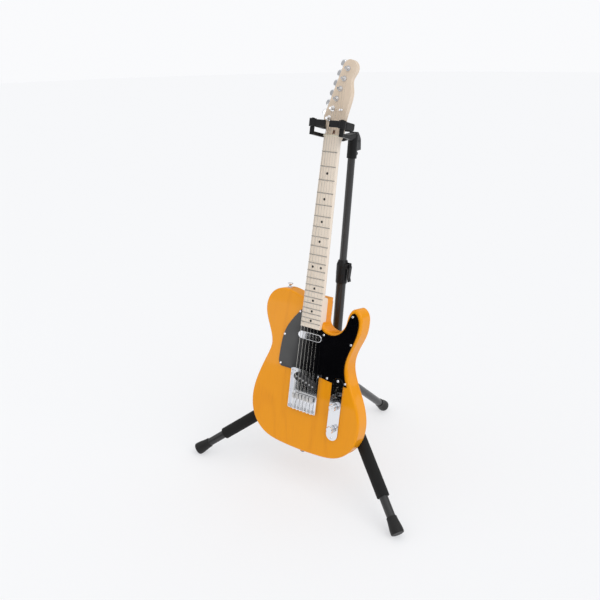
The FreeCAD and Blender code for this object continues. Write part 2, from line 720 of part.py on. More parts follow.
def string_path(index):
    wrap_radius = POST_DIAMETER / 2 - 0.7
    x_saddle = string_x(index, STRING_SPREAD_AT_SADDLES)
    x_nut = string_x(index, STRING_SPREAD_AT_NUT)
    post = post_place(index)
    gauge = STRING_DIAMETERS[index]
    side = wrap_radius + 0.06 + gauge / 2
    wrap_z = HEADSTOCK_FACE + 7.6
    points = [V(x_saddle - STRING_HOLE_OFFSET, BRIDGE_BOTTOM + 3.0, STRING_HOLE_HEIGHT),
              V(x_saddle, 0, saddle_height()),
              V(x_nut, NUT_FRONT, nut_string_height()),
              V(x_nut, NUT_BACK, nut_string_height())]
    if index >= TUNER_COUNT - 2:
        tree = tree_spot()
        offset = -2.6 if index == TUNER_COUNT - 2 else 2.6
        points.append(V(tree.x + offset, tree.y, HEADSTOCK_FACE + 4.0))
    points.append(V(post.x + side, post.y, wrap_z))
    return points


def make_string(index):
    radius = STRING_DIAMETERS[index] / 2
    points = string_path(index)
    pieces = [rod(radius, a, b) for a, b in zip(points, points[1:])]
    pieces += [Part.makeSphere(radius * 1.05 + 0.01, point) for point in points[1:-1]]
    post = post_place(index)
    inner = POST_DIAMETER / 2 - 0.7 + 0.06
    wrap_height = max(2.4 * 2 * radius, 1.2)
    base = post + AXIS_Z * (points[-1].z - wrap_height / 2)
    wrap = Part.makeCylinder(inner + 2 * radius + 0.06, wrap_height, base)
    wrap = wrap.cut(Part.makeCylinder(inner - 0.03, wrap_height, base))
    ball = rod(1.5, points[0] - AXIS_Y * 0.4, points[0] + AXIS_Y * 2.2)
    return fuse_all(pieces + [wrap, ball])


def make_string_tree():
    spot = tree_spot()
    post = rod(2.0, spot, spot + AXIS_Z * 4.9)
    bar = moved(rounded_box(-5.0, 5.0, -2.0, 2.0, 5.2, 6.4, 0.4), V(spot.x, spot.y, HEADSTOCK_FACE - 0.4))
    shank = rod(0.9, spot - AXIS_Z * 7, spot + AXIS_Z * 1)
    head = turned([(0, 0), (2.4, 0), (2.0, 1.2), (0, 1.6)], spot + AXIS_Z * 6.0, AXIS_Z)
    return fuse_all([post, bar, shank, head])


# ---- face fittings
def guard_edges():
    z = 0.0
    neck_side = neck_width(NECK_END) / 2 + 0.6
    left = flat_points([(-neck_side, NECK_END + 45), (-56, 194), (-78, 156), (-86.5, 112),
                        (-88.5, 84), (-86, 66), (-79, 60.5)], z)
    bottom_left = V(-BRIDGE_WIDTH / 2 - 0.4, 60.5, z)
    notch_left = V(-BRIDGE_WIDTH / 2 - 0.4, BRIDGE_TOP + 0.4, z)
    notch_right = V(BRIDGE_WIDTH / 2 + 0.4, BRIDGE_TOP + 0.4, z)
    bottom_right = V(BRIDGE_WIDTH / 2 + 0.4, 60.5, z)
    reach = CONTROL_WIDTH / 2 + 0.4
    notch_top = CONTROL_TOP + 0.4
    control_a = V(CONTROL_X - reach, notch_top - reach, z)
    control_b = V(CONTROL_X, notch_top, z)
    control_c = V(CONTROL_X + reach, notch_top - reach, z)
    right = flat_points([(TREBLE_WAIST_REACH + 6.5, 55.0), (TREBLE_WAIST_REACH - 1, 72),
                         (TREBLE_WAIST_REACH - 6.5, 108), (TREBLE_WAIST_REACH + 4, 150),
                         (HORN_REACH - 10, 186), (HORN_REACH - 7, 214), (HORN_REACH - 14, 235),
                         (HORN_REACH - 23, 241), (HORN_REACH - 31, 233),
                         (HORN_REACH - 41, 204), (HORN_REACH - 55, 183.5), (HORN_REACH - 75, 174),
                         (HORN_REACH - 92, 173.5), (neck_side + 6, 177.5),
                         (neck_side + 0.5, NECK_END + 1)], z)
    inner = V(neck_side + 0.5, NECK_END - 0.8, z)
    pocket_left = V(-neck_side, NECK_END - 0.8, z)
    return [spline(left), line(left[-1], bottom_left), line(bottom_left, notch_left),
            line(notch_left, notch_right), line(notch_right, bottom_right),
            line(bottom_right, control_a), arc(control_a, control_b, control_c),
            line(control_c, right[0]), spline(right), line(right[-1], inner),
            line(inner, pocket_left), line(pocket_left, left[0])]


def make_guard():
    plate = closed_face(guard_edges()).extrude(V(0, 0, GUARD_THICKNESS))
    cuts = [moved(capsule(NECK_PICKUP_SIZE[0] + 1.0, NECK_PICKUP_SIZE[1] + 1.0, -1, 8),
                  V(0, NECK_PICKUP_Y, 0))]
    for spot in guard_screw_spots():
        cuts.append(rod(1.7, spot - AXIS_Z * 5, spot + AXIS_Z))
    return plate.cut(cuts)


def make_face_screws():
    screws = []
    for spot in guard_screw_spots() + bridge_screw_spots() + control_screw_spots():
        screws.append(screw(spot, AXIS_Z, SCREW_HEAD_DIAMETER, 2.5, 10))
    for spot in jack_screw_spots():
        screws.append(at_jack(screw(spot, AXIS_Z, SCREW_HEAD_DIAMETER, 2.5, 10)))
    return Part.makeCompound(screws)


def make_neck_pickup():
    length, width = NECK_PICKUP_SIZE
    cover = moved(capsule(length, width, -9, NECK_PICKUP_TOP), V(0, NECK_PICKUP_Y, 0))
    crest = [e for e in cover.Edges if abs(e.BoundBox.ZMin - NECK_PICKUP_TOP) < 0.01
             and abs(e.BoundBox.ZMax - NECK_PICKUP_TOP) < 0.01]
    cover = cover.makeFillet(1.6, crest)
    hollow = moved(capsule(length - 1.6, width - 1.6, -10, NECK_PICKUP_TOP - 0.8),
                   V(0, NECK_PICKUP_Y, 0))
    coil = moved(capsule(length - 3.0, width - 3.0, -8.6, NECK_PICKUP_TOP - 2), V(0, NECK_PICKUP_Y, 0))
    return Part.makeCompound([cover.cut(hollow), coil])


def bridge_pickup_outline(grow, z0, z1):
    length, width = BRIDGE_PICKUP_SIZE
    return slanted(capsule(length + 2 * grow, width + 2 * grow, z0, z1))


def pole_spot(index):
    x = string_x(index, STRING_SPREAD_AT_SADDLES - 0.6)
    return slanted(Part.Vertex(x, 0, 0)).Point


def make_bridge_pickup():
    bobbin = bridge_pickup_outline(0, -14, BRIDGE_PICKUP_TOP)
    crest = [e for e in bobbin.Edges if abs(e.BoundBox.ZMin - BRIDGE_PICKUP_TOP) < 0.01]
    bobbin = bobbin.makeFillet(1.0, crest)
    cuts = []
    for index in range(TUNER_COUNT):
        spot = pole_spot(index)
        cuts.append(rod(POLE_DIAMETER / 2, spot - AXIS_Z * 13, spot + AXIS_Z * 12))
    return bobbin.cut(cuts)


def make_poles():
    poles = []
    for index in range(TUNER_COUNT):
        spot = pole_spot(index)
        pole = rod(POLE_DIAMETER / 2, spot - AXIS_Z * 12.9, spot + AXIS_Z * (BRIDGE_PICKUP_TOP + 0.5))
        poles.append(pole)
    return Part.makeCompound(poles)


def make_bridge_plate():
    half = BRIDGE_WIDTH / 2
    tray = box(-half, half, BRIDGE_BOTTOM, BRIDGE_TOP, 0, BRIDGE_WALL_HEIGHT)
    uprights = [e for e in tray.Edges
                if abs(e.BoundBox.ZMax - e.BoundBox.ZMin - BRIDGE_WALL_HEIGHT) < 0.01
                and abs(e.CenterOfMass.y - BRIDGE_BOTTOM) < 0.01]
    tray = tray.makeFillet(3.0, uprights)
    inner = half - BRIDGE_PLATE
    tray = tray.cut(box(-inner, inner, BRIDGE_BOTTOM + BRIDGE_PLATE, BRIDGE_TOP + 1,
                        BRIDGE_PLATE, BRIDGE_WALL_HEIGHT + 1))
    cuts = [bridge_pickup_outline(0.5, -1, 12)]
    for spot in bridge_screw_spots():
        cuts.append(rod(1.7, spot - AXIS_Z * 4, spot + AXIS_Z))
    for index in range(TUNER_COUNT):
        x = string_x(index, STRING_SPREAD_AT_SADDLES)
        hole = V(x - STRING_HOLE_OFFSET, BRIDGE_BOTTOM, STRING_HOLE_HEIGHT)
        cuts.append(rod(0.9, hole - AXIS_Y, hole + AXIS_Y * 3))
        start, end = saddle_screw_line(index)
        cuts.append(rod(1.5, start - AXIS_Y, start + AXIS_Y * 3))
    return tray.cut(cuts)


def saddle_x(index):
    return string_x(index, STRING_SPREAD_AT_SADDLES)


def saddle_screw_line(index):
    x = saddle_x(index) + 1.2
    return V(x, BRIDGE_BOTTOM, 6.7), V(x, -3.0, 6.7)


def make_saddles():
    width, length, height = SADDLE_SIZE
    saddles = []
    for index in range(TUNER_COUNT):
        x = saddle_x(index)
        base = SADDLE_TOP - height
        block = box(x - width / 2, x + width / 2, -length + 3, 3, base, SADDLE_TOP)
        back = V(x - width, 0, SADDLE_TOP)
        outline = [back, back + V(0, -length, -length * 0.3), back + V(0, -length, 4), back + V(0, 0, 4)]
        slope = Part.Face(Part.makePolygon(outline + outline[:1])).extrude(AXIS_X * (2 * width))
        radius = STRING_DIAMETERS[index] / 2 + 0.15
        slot = box(x - radius, x + radius, -length, 4, saddle_height() - radius - 0.1, SADDLE_TOP + 3)
        start, end = saddle_screw_line(index)
        screw_hole = rod(1.25, start, end + AXIS_Y * 0.2)
        cuts = [slope, slot, screw_hole]
        for side in (-2.6, 2.6):
            cuts.append(rod(0.85, V(x + side, 0.9, base - 1), V(x + side, 0.9, SADDLE_TOP + 1)))
        saddles.append(block.cut(cuts))
    return Part.makeCompound(saddles)


def make_saddle_screws():
    screws = []
    for index in range(TUNER_COUNT):
        start, end = saddle_screw_line(index)
        shank = rod(1.2, start - AXIS_Y * 0.2, end)
        head = rod(1.9, start - AXIS_Y * 2.0, start)
        head = head.cut(box(start.x - 3, start.x + 3, start.y - 3, start.y - 1.3,
                            start.z - 0.3, start.z + 0.3))
        screws.append(fuse_all([shank, head]))
        for side in (-2.6, 2.6):
            x = saddle_x(index) + side
            screws.append(rod(0.8, V(x, 0.9, BRIDGE_PLATE), V(x, 0.9, SADDLE_TOP + 0.6)))
    return Part.makeCompound(screws)


def make_control_plate():
    plate = control_shape(CONTROL_WIDTH, 0, GUARD_THICKNESS, GUARD_THICKNESS + CONTROL_PLATE)
    lip = control_shape(CONTROL_WIDTH, 0, 0, GUARD_THICKNESS)
    inside = control_shape(CONTROL_WIDTH - 5.0, 2.5, -1, GUARD_THICKNESS)
    plate = fuse_all([plate, lip.cut(inside)])
    cuts = [moved(box(-2.4, 2.4, -14, 14, -1, 9), V(CONTROL_X, SWITCH_Y, 0))]
    for y in (VOLUME_Y, TONE_Y):
        cuts.append(rod(4.0, V(CONTROL_X, y, -1), V(CONTROL_X, y, 9)))
    for spot in control_screw_spots():
        cuts.append(rod(1.7, spot - AXIS_Z * 6, spot + AXIS_Z))
    return plate.cut(cuts)


def switch_pivot():
    return V(CONTROL_X, SWITCH_Y, -11.0)


def make_switch_body():
    pivot = switch_pivot()
    under = GUARD_THICKNESS - 0.1
    frame = box(-9, 9, -17, 17, -1.8, under).fuse(box(-9, 9, -14, 14, -22, -1.7))
    frame = frame.cut([box(-2.2, 2.2, -12.5, 12.5, -20, 5)])
    frame = moved(frame, V(CONTROL_X, SWITCH_Y, 0))
    pin = rod(1.5, pivot - AXIS_X * 8.5, pivot + AXIS_X * 8.5)
    return fuse_all([frame, pin])


def make_switch_lever():
    pivot = switch_pivot()
    top = GUARD_THICKNESS + CONTROL_PLATE
    blade = box(-1.1, 1.1, -2.2, 2.2, pivot.z, top + LEVER_LENGTH - 4)
    hub = rod(4.0, V(-1.1, 0, pivot.z), V(1.1, 0, pivot.z))
    tip = turned([(0, 0), (3.6, 0), (4.3, 2), (4.6, 8), (4.4, 13), (3.0, 15.6), (0, 16.2)],
                 V(0, 0, top + LEVER_LENGTH - 14), AXIS_Z)
    lever = moved(fuse_all([blade, hub, tip]), V(CONTROL_X, SWITCH_Y, 0))
    lever = turned_about(lever, pivot, AXIS_X, SWITCH_THROW)
    lever = lever.cut(rod(1.5 + RUNNING_FIT, pivot - AXIS_X * 3, pivot + AXIS_X * 3))
    return lever


def make_pots():
    pots = []
    for y in (VOLUME_Y, TONE_Y):
        can = rod(11.0, V(CONTROL_X, y, -20), V(CONTROL_X, y, -8))
        neck = rod(3.8, V(CONTROL_X, y, -8), V(CONTROL_X, y, GUARD_THICKNESS + CONTROL_PLATE + 0.6))
        bore = rod(POT_SHAFT_DIAMETER / 2 + RUNNING_FIT, V(CONTROL_X, y, -14), V(CONTROL_X, y, 10))
        pots.append(fuse_all([can, neck]).cut(bore))
    return Part.makeCompound(pots)


def make_knob(y):
    base = GUARD_THICKNESS + CONTROL_PLATE + 1.4
    r = KNOB_DIAMETER / 2
    profile = [(0, base), (r - 0.6, base), (r, base + 0.8), (r, base + KNOB_HEIGHT - 3.2),
               (r - 0.8, base + KNOB_HEIGHT - 1.0), (r - 2.4, base + KNOB_HEIGHT), (0, base + KNOB_HEIGHT)]
    knob = turned(profile, V(CONTROL_X, y, 0), AXIS_Z)
    shaft = rod(POT_SHAFT_DIAMETER / 2, V(CONTROL_X, y, -13.5), V(CONTROL_X, y, base + 2))
    knob = fuse_all([knob, shaft])
    flutes = []
    count = 24
    for step in range(count):
        angle = 2 * math.pi * step / count
        spot = V(CONTROL_X + (r + 0.35) * math.cos(angle), y + (r + 0.35) * math.sin(angle), 0)
        flutes.append(rod(0.8, spot + AXIS_Z * (base + 2.0), spot + AXIS_Z * (base + KNOB_HEIGHT - 4.0)))
    return knob.cut(flutes)


# ---- jack, straps, neck plate
def jack_screw_spots():
    x = JACK_PLATE_SIZE[0] / 2 - 5.5
    z = -4.0 + JACK_PLATE_THICKNESS
    return [V(-x, 0, z), V(x, 0, z)]


def make_jack_plate():
    plate = capsule(JACK_PLATE_SIZE[0], JACK_PLATE_SIZE[1], -4.0, -4.0 + JACK_PLATE_THICKNESS)
    cuts = [rod(5.0, V(0, 0, -6), V(0, 0, 1))]
    for spot in jack_screw_spots():
        cuts.append(rod(1.7, spot - AXIS_Z * 5, spot + AXIS_Z))
    return at_jack(plate.cut(cuts))


def make_jack_socket():
    seat = -4.0 + JACK_PLATE_THICKNESS
    barrel = rod(4.9, V(0, 0, -30), V(0, 0, seat + 2.8))
    shoulder = rod(8.5, V(0, 0, -14), V(0, 0, -4.4))
    points = [V(6.8 * math.cos(math.radians(a)), 6.8 * math.sin(math.radians(a)), seat)
              for a in range(0, 360, 60)]
    nut = Part.Face(Part.makePolygon(points + points[:1])).extrude(V(0, 0, 2.2))
    socket = fuse_all([barrel, shoulder, nut])
    return at_jack(socket.cut(rod(JACK_BORE / 2, V(0, 0, -28), V(0, 0, 5))))


def make_strap_buttons():
    r = STRAP_BUTTON_DIAMETER / 2
    h = STRAP_BUTTON_HEIGHT
    profile = [(0, -22), (1.6, -20), (1.7, 0), (r - 1.2, 0), (r - 1.4, 1.4), (r - 3.2, 3.4),
               (r - 3.4, 6.0), (r - 2.2, 7.6), (r - 0.2, 8.6), (r, h - 2.0), (r - 0.8, h - 0.8),
               (2.6, h), (0, h - 0.6)]
    return Part.makeCompound([turned(profile, spot, out) for spot, out in strap_button_spots()])


def make_neck_plate():
    width, length = NECK_PLATE_SIZE
    middle = neck_plate_middle()
    back = -BODY_THICKNESS
    plate = box(-width / 2, width / 2, middle - length / 2, middle + length / 2,
                back - NECK_PLATE_THICKNESS, back)
    uprights = [e for e in plate.Edges if abs(e.BoundBox.ZMax - e.BoundBox.ZMin) > 1]
    plate = plate.makeFillet(5.0, uprights)
    return plate.cut([rod(2.4, spot - AXIS_Z, spot + AXIS_Z * 5) for spot in neck_screw_spots()])


def make_neck_screws():
    length = BODY_THICKNESS + NECK_PLATE_THICKNESS - POCKET_DEPTH + 14
    return Part.makeCompound([screw(spot, AXIS_Z.negative(), 8.6, 3.8, length)
                              for spot in neck_screw_spots()])


# ---- stand: frames
def mast_placement():
    return FreeCAD.Placement(V(0, 0, HUB_HEIGHT), FreeCAD.Rotation(AXIS_X, -MAST_LEAN))


def on_mast(shape):
    return shape.transformed(mast_placement().toMatrix())


MAST_UP = V(0, math.sin(math.radians(MAST_LEAN)), math.cos(math.radians(MAST_LEAN)))
HUB = V(0, 0, HUB_HEIGHT)


class Leg:
    # one leg's line: from the hub's middle down to the centre of its foot
    def __init__(self, name, heading, reach, has_foam):
        self.name = name
        self.has_foam = has_foam
        a = math.radians(heading)
        self.foot = V(reach * math.cos(a), reach * math.sin(a), FOOT_CENTRE_HEIGHT)
        self.down = (self.foot - HUB).normalize()
        self.from_mast = math.acos(self.down.dot(MAST_UP.negative()))
        self.pivot = HUB + self.down * (LEG_PIVOT_RADIUS / math.sin(self.from_mast))
        self.pin = self.down.cross(MAST_UP).normalize()

    def at(self, distance):
        # a point on the leg's line, measured up from the foot centre
        return self.foot - self.down * distance


LEGS = [Leg("left", -90 - FRONT_LEG_SPREAD, FRONT_LEG_REACH, True),
        Leg("right", -90 + FRONT_LEG_SPREAD, FRONT_LEG_REACH, True),
        Leg("rear", 90, REAR_LEG_REACH, False)]


def make_leg_tube(leg):
    top = leg.pivot - leg.down * LEG_ROOT
    low = leg.at(4.0)
    r = LEG_TUBE_DIAMETER / 2
    tube = rod(r, low, top).cut(rod(r - LEG_TUBE_WALL, low, top))
    half = leg.pin * (r + 2)
    return tube.cut(rod(LEG_PIN_DIAMETER / 2 + RUNNING_FIT, leg.pivot - half, leg.pivot + half))


def make_cap(leg):
    inner = LEG_TUBE_DIAMETER / 2
    collar = CAP_COLLAR_DIAMETER / 2
    end = CAP_END_DIAMETER / 2
    low = -CAP_PAST_CENTRE
    profile = [V(inner, 0, CAP_SLEEVE_LENGTH), V(collar - 0.8, 0, CAP_SLEEVE_LENGTH),
               V(collar, 0, CAP_SLEEVE_LENGTH - 1.5), V(collar + 0.4, 0, CAP_SLEEVE_LENGTH - 9),
               V(end - 0.6, 0, 6.0), V(end, 0, 0), V(end, 0, low + CAP_END_ROUNDING),
               V(end - CAP_END_ROUNDING * 0.3, 0, low + CAP_END_ROUNDING * 0.3),
               V(end - CAP_END_ROUNDING, 0, low), V(0, 0, low), V(0, 0, 4.0), V(inner, 0, 4.0)]
    solid = Part.Face(Part.makePolygon(profile + profile[:1])).revolve(ORIGIN, AXIS_Z, 360)
    solid.Placement = FreeCAD.Placement(leg.foot, FreeCAD.Rotation(AXIS_Z, leg.down.negative()))
    under_floor = box(-900, 900, -900, 900, -60, 0)
    return solid.cut(under_floor)


def make_foam(leg):
    start = leg.at(FOAM_FROM_FOOT)
    end = leg.at(FOAM_TO_FOOT)
    sleeve = rod(FOAM_DIAMETER / 2, start, end)
    side = math.copysign(0.4, leg.foot.x)
    pressed = hung(moved(ROUNDED_BODY, V(side, -0.3, -REST_GAP)))
    return sleeve.cut([rod(LEG_TUBE_DIAMETER / 2, start, end), pressed])


def lug_pair(leg):
    # two cheeks that hold one leg's root, drawn around the leg's pivot
    side = leg.pin
    inner = LEG_TUBE_DIAMETER / 2 + PART_GAP
    radial = side.cross(MAST_UP).normalize()
    if radial.dot(leg.down) < 0:
        radial = radial.negative()
    cheeks = []
    for sign in (-1, 1):
        base = leg.pivot + side * (sign * inner)
        back = LEG_PIVOT_RADIUS - 4
        thick = LUG_THICKNESS
        half = LUG_HEIGHT / 2
        outline = [V(-back, 0, -half), V(4, 0, -half), V(half - 4, 0, -4), V(half - 4, 0, 6),
                   V(4, 0, half), V(-back, 0, half)]
        cheek = Part.Face(Part.makePolygon(outline + outline[:1])).extrude(V(0, thick, 0))
        rounded = [e for e in cheek.Edges if e.Length > thick - 0.01 and e.Length < thick + 0.01
                   and e.CenterOfMass.x > 0]
        cheek = cheek.makeFillet(3.0, rounded)
        basis = FreeCAD.Matrix(radial.x, side.x * sign, MAST_UP.x, base.x,
                               radial.y, side.y * sign, MAST_UP.y, base.y,
                               radial.z, side.z * sign, MAST_UP.z, base.z, 0, 0, 0, 1)
        cheeks.append(cheek.transformGeometry(basis))
    return cheeks


def make_hub():
    barrel = Part.makeCylinder(HUB_DIAMETER / 2, HUB_BELOW + HUB_ABOVE, V(0, 0, -HUB_BELOW))
    rims = [e for e in barrel.Edges if e.Closed]
    barrel = on_mast(barrel.makeFillet(2.5, rims))
    pieces = [barrel]
    for leg in LEGS:
        pieces += lug_pair(leg)
    hub = pieces[0].fuse(pieces[1:])
    cuts = [on_mast(Part.makeCylinder(MAST_DIAMETER / 2, 200, V(0, 0, -100)))]
    for leg in LEGS:
        half = leg.pin * 30
        cuts.append(rod(LEG_PIN_DIAMETER / 2, leg.pivot - half, leg.pivot + half))
        reach = LEG_TUBE_DIAMETER / 2 + PART_GAP
        cuts.append(swept_root(leg, reach))
    return hub.cut(cuts)


def swept_root(leg, reach):
    # room for the leg's root to turn between its cheeks
    half = leg.pin * (LEG_TUBE_DIAMETER / 2 + PART_GAP)
    radius = math.hypot(LEG_ROOT, LEG_TUBE_DIAMETER / 2) + PART_GAP
    return rod(radius, leg.pivot - half, leg.pivot + half)


def make_hub_pins():
    pins = []
    outer = LEG_TUBE_DIAMETER / 2 + PART_GAP + LUG_THICKNESS
    for leg in LEGS:
        start = leg.pivot - leg.pin * (outer + 1.0)
        end = leg.pivot + leg.pin * (outer + 1.0)
        shank = rod(LEG_PIN_DIAMETER / 2, start, end)
        heads = [rod(LEG_PIN_DIAMETER / 2 + 2, leg.pivot + leg.pin * (sign * outer),
                     leg.pivot + leg.pin * (sign * (outer + 2.6))) for sign in (-1, 1)]
        pins.append(fuse_all([shank] + heads))
    return Part.makeCompound(pins)


def make_lower_mast():
    top = CLUTCH_FROM_HUB + 34
    r = MAST_DIAMETER / 2
    tube = Part.makeCylinder(r, top + MAST_BELOW_HUB, V(0, 0, -MAST_BELOW_HUB))
    bore = Part.makeCylinder(r - MAST_WALL, top + MAST_BELOW_HUB - 6, V(0, 0, -MAST_BELOW_HUB + 6))
    return on_mast(tube.cut(bore))


def make_clutch():
    r = CLUTCH_DIAMETER / 2
    low = CLUTCH_FROM_HUB
    high = low + CLUTCH_HEIGHT
    profile = [(0, low), (r - 2.0, low), (r - 0.6, low + 3), (r - 0.4, low + 22), (r, low + 25),
               (r, high - 12), (r - 1.2, high - 8), (r - 3.4, high - 1.2), (r - 4.4, high), (0, high)]
    body = turned(profile, ORIGIN, AXIS_Z)
    ears = box(r - 5, LEVER_REACH - 2.0, -LEVER_WIDTH / 2 - 4.6, LEVER_WIDTH / 2 + 4.6, high - 20, high - 7)
    ears = ears.makeFillet(2.0, [e for e in ears.Edges if e.BoundBox.XMin > r
                                 and abs(e.BoundBox.YMax - e.BoundBox.YMin) > 5])
    body = fuse_all([body, ears])
    sink = MAST_DIAMETER / 2
    pivot = clutch_pivot_local()
    gap = LEVER_WIDTH / 2 + PART_GAP
    cuts = [Part.makeCylinder(sink, 34, V(0, 0, low)),
            Part.makeCylinder(UPPER_MAST_DIAMETER / 2 + RUNNING_FIT, 200, V(0, 0, low)),
            box(MAST_DIAMETER / 2 - 0.6, LEVER_REACH + 4, -gap, gap, high - 21, high - 6),
            rod(1.6, pivot - AXIS_Y * 14, pivot + AXIS_Y * 14)]
    return on_mast(body.cut(cuts))


def clutch_pivot_local():
    return V(LEVER_REACH - 5.0, 0, CLUTCH_FROM_HUB + CLUTCH_HEIGHT - 12)


def make_clutch_lever():
    pivot = clutch_pivot_local()
    half = LEVER_WIDTH / 2
    top = pivot.z + 4.0
    outer = LEVER_REACH
    foot_z = pivot.z - LEVER_DROP
    points = [V(pivot.x - 3, -half, top - 1), V(outer - 1, -half, top), V(outer + 2.6, -half, pivot.z - 4),
              V(outer + 0.6, -half, foot_z + 10), V(outer + 3.2, -half, foot_z),
              V(outer - 0.4, -half, foot_z - 1), V(outer - 2.4, -half, foot_z + 12),
              V(outer - 2.6, -half, pivot.z - 9), V(pivot.x - 3.5, -half, pivot.z - 3)]
    lever = Part.Face(Part.makePolygon(points + points[:1])).extrude(V(0, 2 * half, 0))
    cross = [e for e in lever.Edges if abs(e.BoundBox.YMax - e.BoundBox.YMin) > half]
    lever = lever.makeFillet(0.9, cross)
    lever = lever.cut(rod(1.5 + RUNNING_FIT, pivot - AXIS_Y * 14, pivot + AXIS_Y * 14))
    return on_mast(lever)


def make_clutch_pin():
    pivot = clutch_pivot_local()
    return on_mast(rod(1.5, pivot - AXIS_Y * (LEVER_WIDTH / 2 + 4.6), pivot + AXIS_Y * (LEVER_WIDTH / 2 + 4.6)))


# ---- stand: mast's top and yoke
def guitar_placement(forward):
    # forward = how far the body's face stands in front of the hub's middle at the saddle line
    rotation = FreeCAD.Rotation(AXIS_X, 90 - GUITAR_TILT)
    return FreeCAD.Placement(V(0, -forward, GUITAR_HEIGHT), rotation)


def seat_distance():
    # slide the guitar back until its body has pressed the foam nearly down to the leg tubes
    legs = [line(leg.at(FOAM_FROM_FOOT), leg.at(FOAM_TO_FOOT)) for leg in LEGS if leg.has_foam]
    target = LEG_TUBE_DIAMETER / 2 + FOAM_UNDER_BODY + REST_GAP
    near, far = 110.0, 174.0
    for step in range(9):
        middle = (near + far) / 2
        shape = ROUNDED_BODY.transformed(guitar_placement(middle).toMatrix())
        gap = min(shape.distToShape(leg)[0] for leg in legs)
        if gap < target:
            near = middle
        else:
            far = middle
    return far


ROUNDED_BODY = rounded_body()
GUITAR = guitar_placement(seat_distance())


def hung(shape):
    return shape.transformed(GUITAR.toMatrix())


def to_world(point):
    return GUITAR.multVec(point)


def rail_y(z):
    return RAIL_Y + math.tan(math.radians(YOKE_PITCH)) * z


def u_bar(inner, outer, front, rise, height):
    # a U seen from above, open to the front with slanted back corners, along the yoke's slope
    outer_flat, inner_flat = YOKE_CORNER
    inside = YOKE_BACK + YOKE_BAR_DEPTH
    half = [(outer, front), (outer, YOKE_BACK + YOKE_SLANT * (outer - outer_flat)),
            (outer_flat, YOKE_BACK)]
    hollow = [(inner_flat, inside), (inner, inside + YOKE_SLANT * (inner - inner_flat)),
              (inner, front)]
    mirrored = [(-x, z) for x, z in reversed(half)]
    pairs = half + mirrored + [(-x, z) for x, z in reversed(hollow)] + hollow
    points = [V(x, rail_y(0) + rise - height / 2, z) for x, z in pairs]
    solid = Part.Face(Part.makePolygon(points + points[:1])).extrude(V(0, height, 0))
    return turned_about(solid, V(0, rail_y(0) + rise, 0), AXIS_X, -YOKE_PITCH)


def gate_pin_spot(side):
    return V(side * RAIL_X, rail_y(GATE_Z), GATE_Z)


def gate_middle_y():
    return rail_y(GATE_Z) + CRADLE_RISE


def mast_point_at(height):
    # the point of the mast's axis at a height above the floor
    return HUB + MAST_UP * ((height - HUB_HEIGHT) / MAST_UP.z)


def crossbar_middle():
    z = YOKE_BACK + YOKE_BAR_DEPTH / 2
    return V(0, rail_y(z), z)


def upper_mast_top():
    return (mast_point_at(SOCKET_TOP) - HUB).Length - 5


def make_upper_mast():
    low = CLUTCH_FROM_HUB + 34 - UPPER_MAST_OVERLAP
    high = upper_mast_top()
    r = UPPER_MAST_DIAMETER / 2
    tube = Part.makeCylinder(r, high - low, V(0, 0, low))
    glide = Part.makeCylinder(MAST_DIAMETER / 2 - MAST_WALL - RUNNING_FIT, 12, V(0, 0, low))
    tube = fuse_all([tube, glide])
    return on_mast(tube.cut(Part.makeCylinder(r - UPPER_MAST_WALL, high - low, V(0, 0, low))))


def make_yoke_head():
    pieces = [u_bar(RAIL_X - RAIL_WIDTH / 2, RAIL_X + RAIL_WIDTH / 2, GATE_Z, 0, RAIL_HEIGHT)]
    for side in (-1, 1):
        spot = gate_pin_spot(side)
        top = gate_middle_y() + GATE_FINGER[0] / 2 + 3.0
        post_top = gate_middle_y() - GATE_FINGER[0] / 2 - 2.2
        pieces.append(rod(RAIL_WIDTH / 2 + 0.5, V(spot.x, spot.y - RAIL_HEIGHT / 2, spot.z),
                          V(spot.x, post_top, spot.z)))
        pieces.append(rod(GATE_PIN_DIAMETER / 2, V(spot.x, spot.y, spot.z), V(spot.x, top, spot.z)))
    middle = crossbar_middle()
    guide_top = middle.y + CRADLE_RISE + ARM_HEIGHT / 2 + CRADLE_TRAVEL + 3
    pieces.append(rod(GUIDE_DIAMETER / 2, middle, V(middle.x, guide_top, middle.z)))
    yoke = hung(pieces[0].fuse(pieces[1:]))
    low = mast_point_at(SOCKET_BOTTOM)
    high = mast_point_at(SOCKET_TOP)
    socket = rod(SOCKET_DIAMETER / 2, low, high)
    bar = to_world(middle)
    arm_end = mast_point_at(bar.z).y - 3
    arm = box(-11, 11, bar.y, arm_end, bar.z - 8, bar.z + 4)
    arm = arm.makeFillet(2.5, [e for e in arm.Edges if abs(e.BoundBox.YMax - e.BoundBox.YMin) > 10])
    head = fuse_all([yoke, socket, arm])
    return head.cut(rod(UPPER_MAST_DIAMETER / 2, low - MAST_UP, mast_point_at(SOCKET_TOP) - MAST_UP * 4))


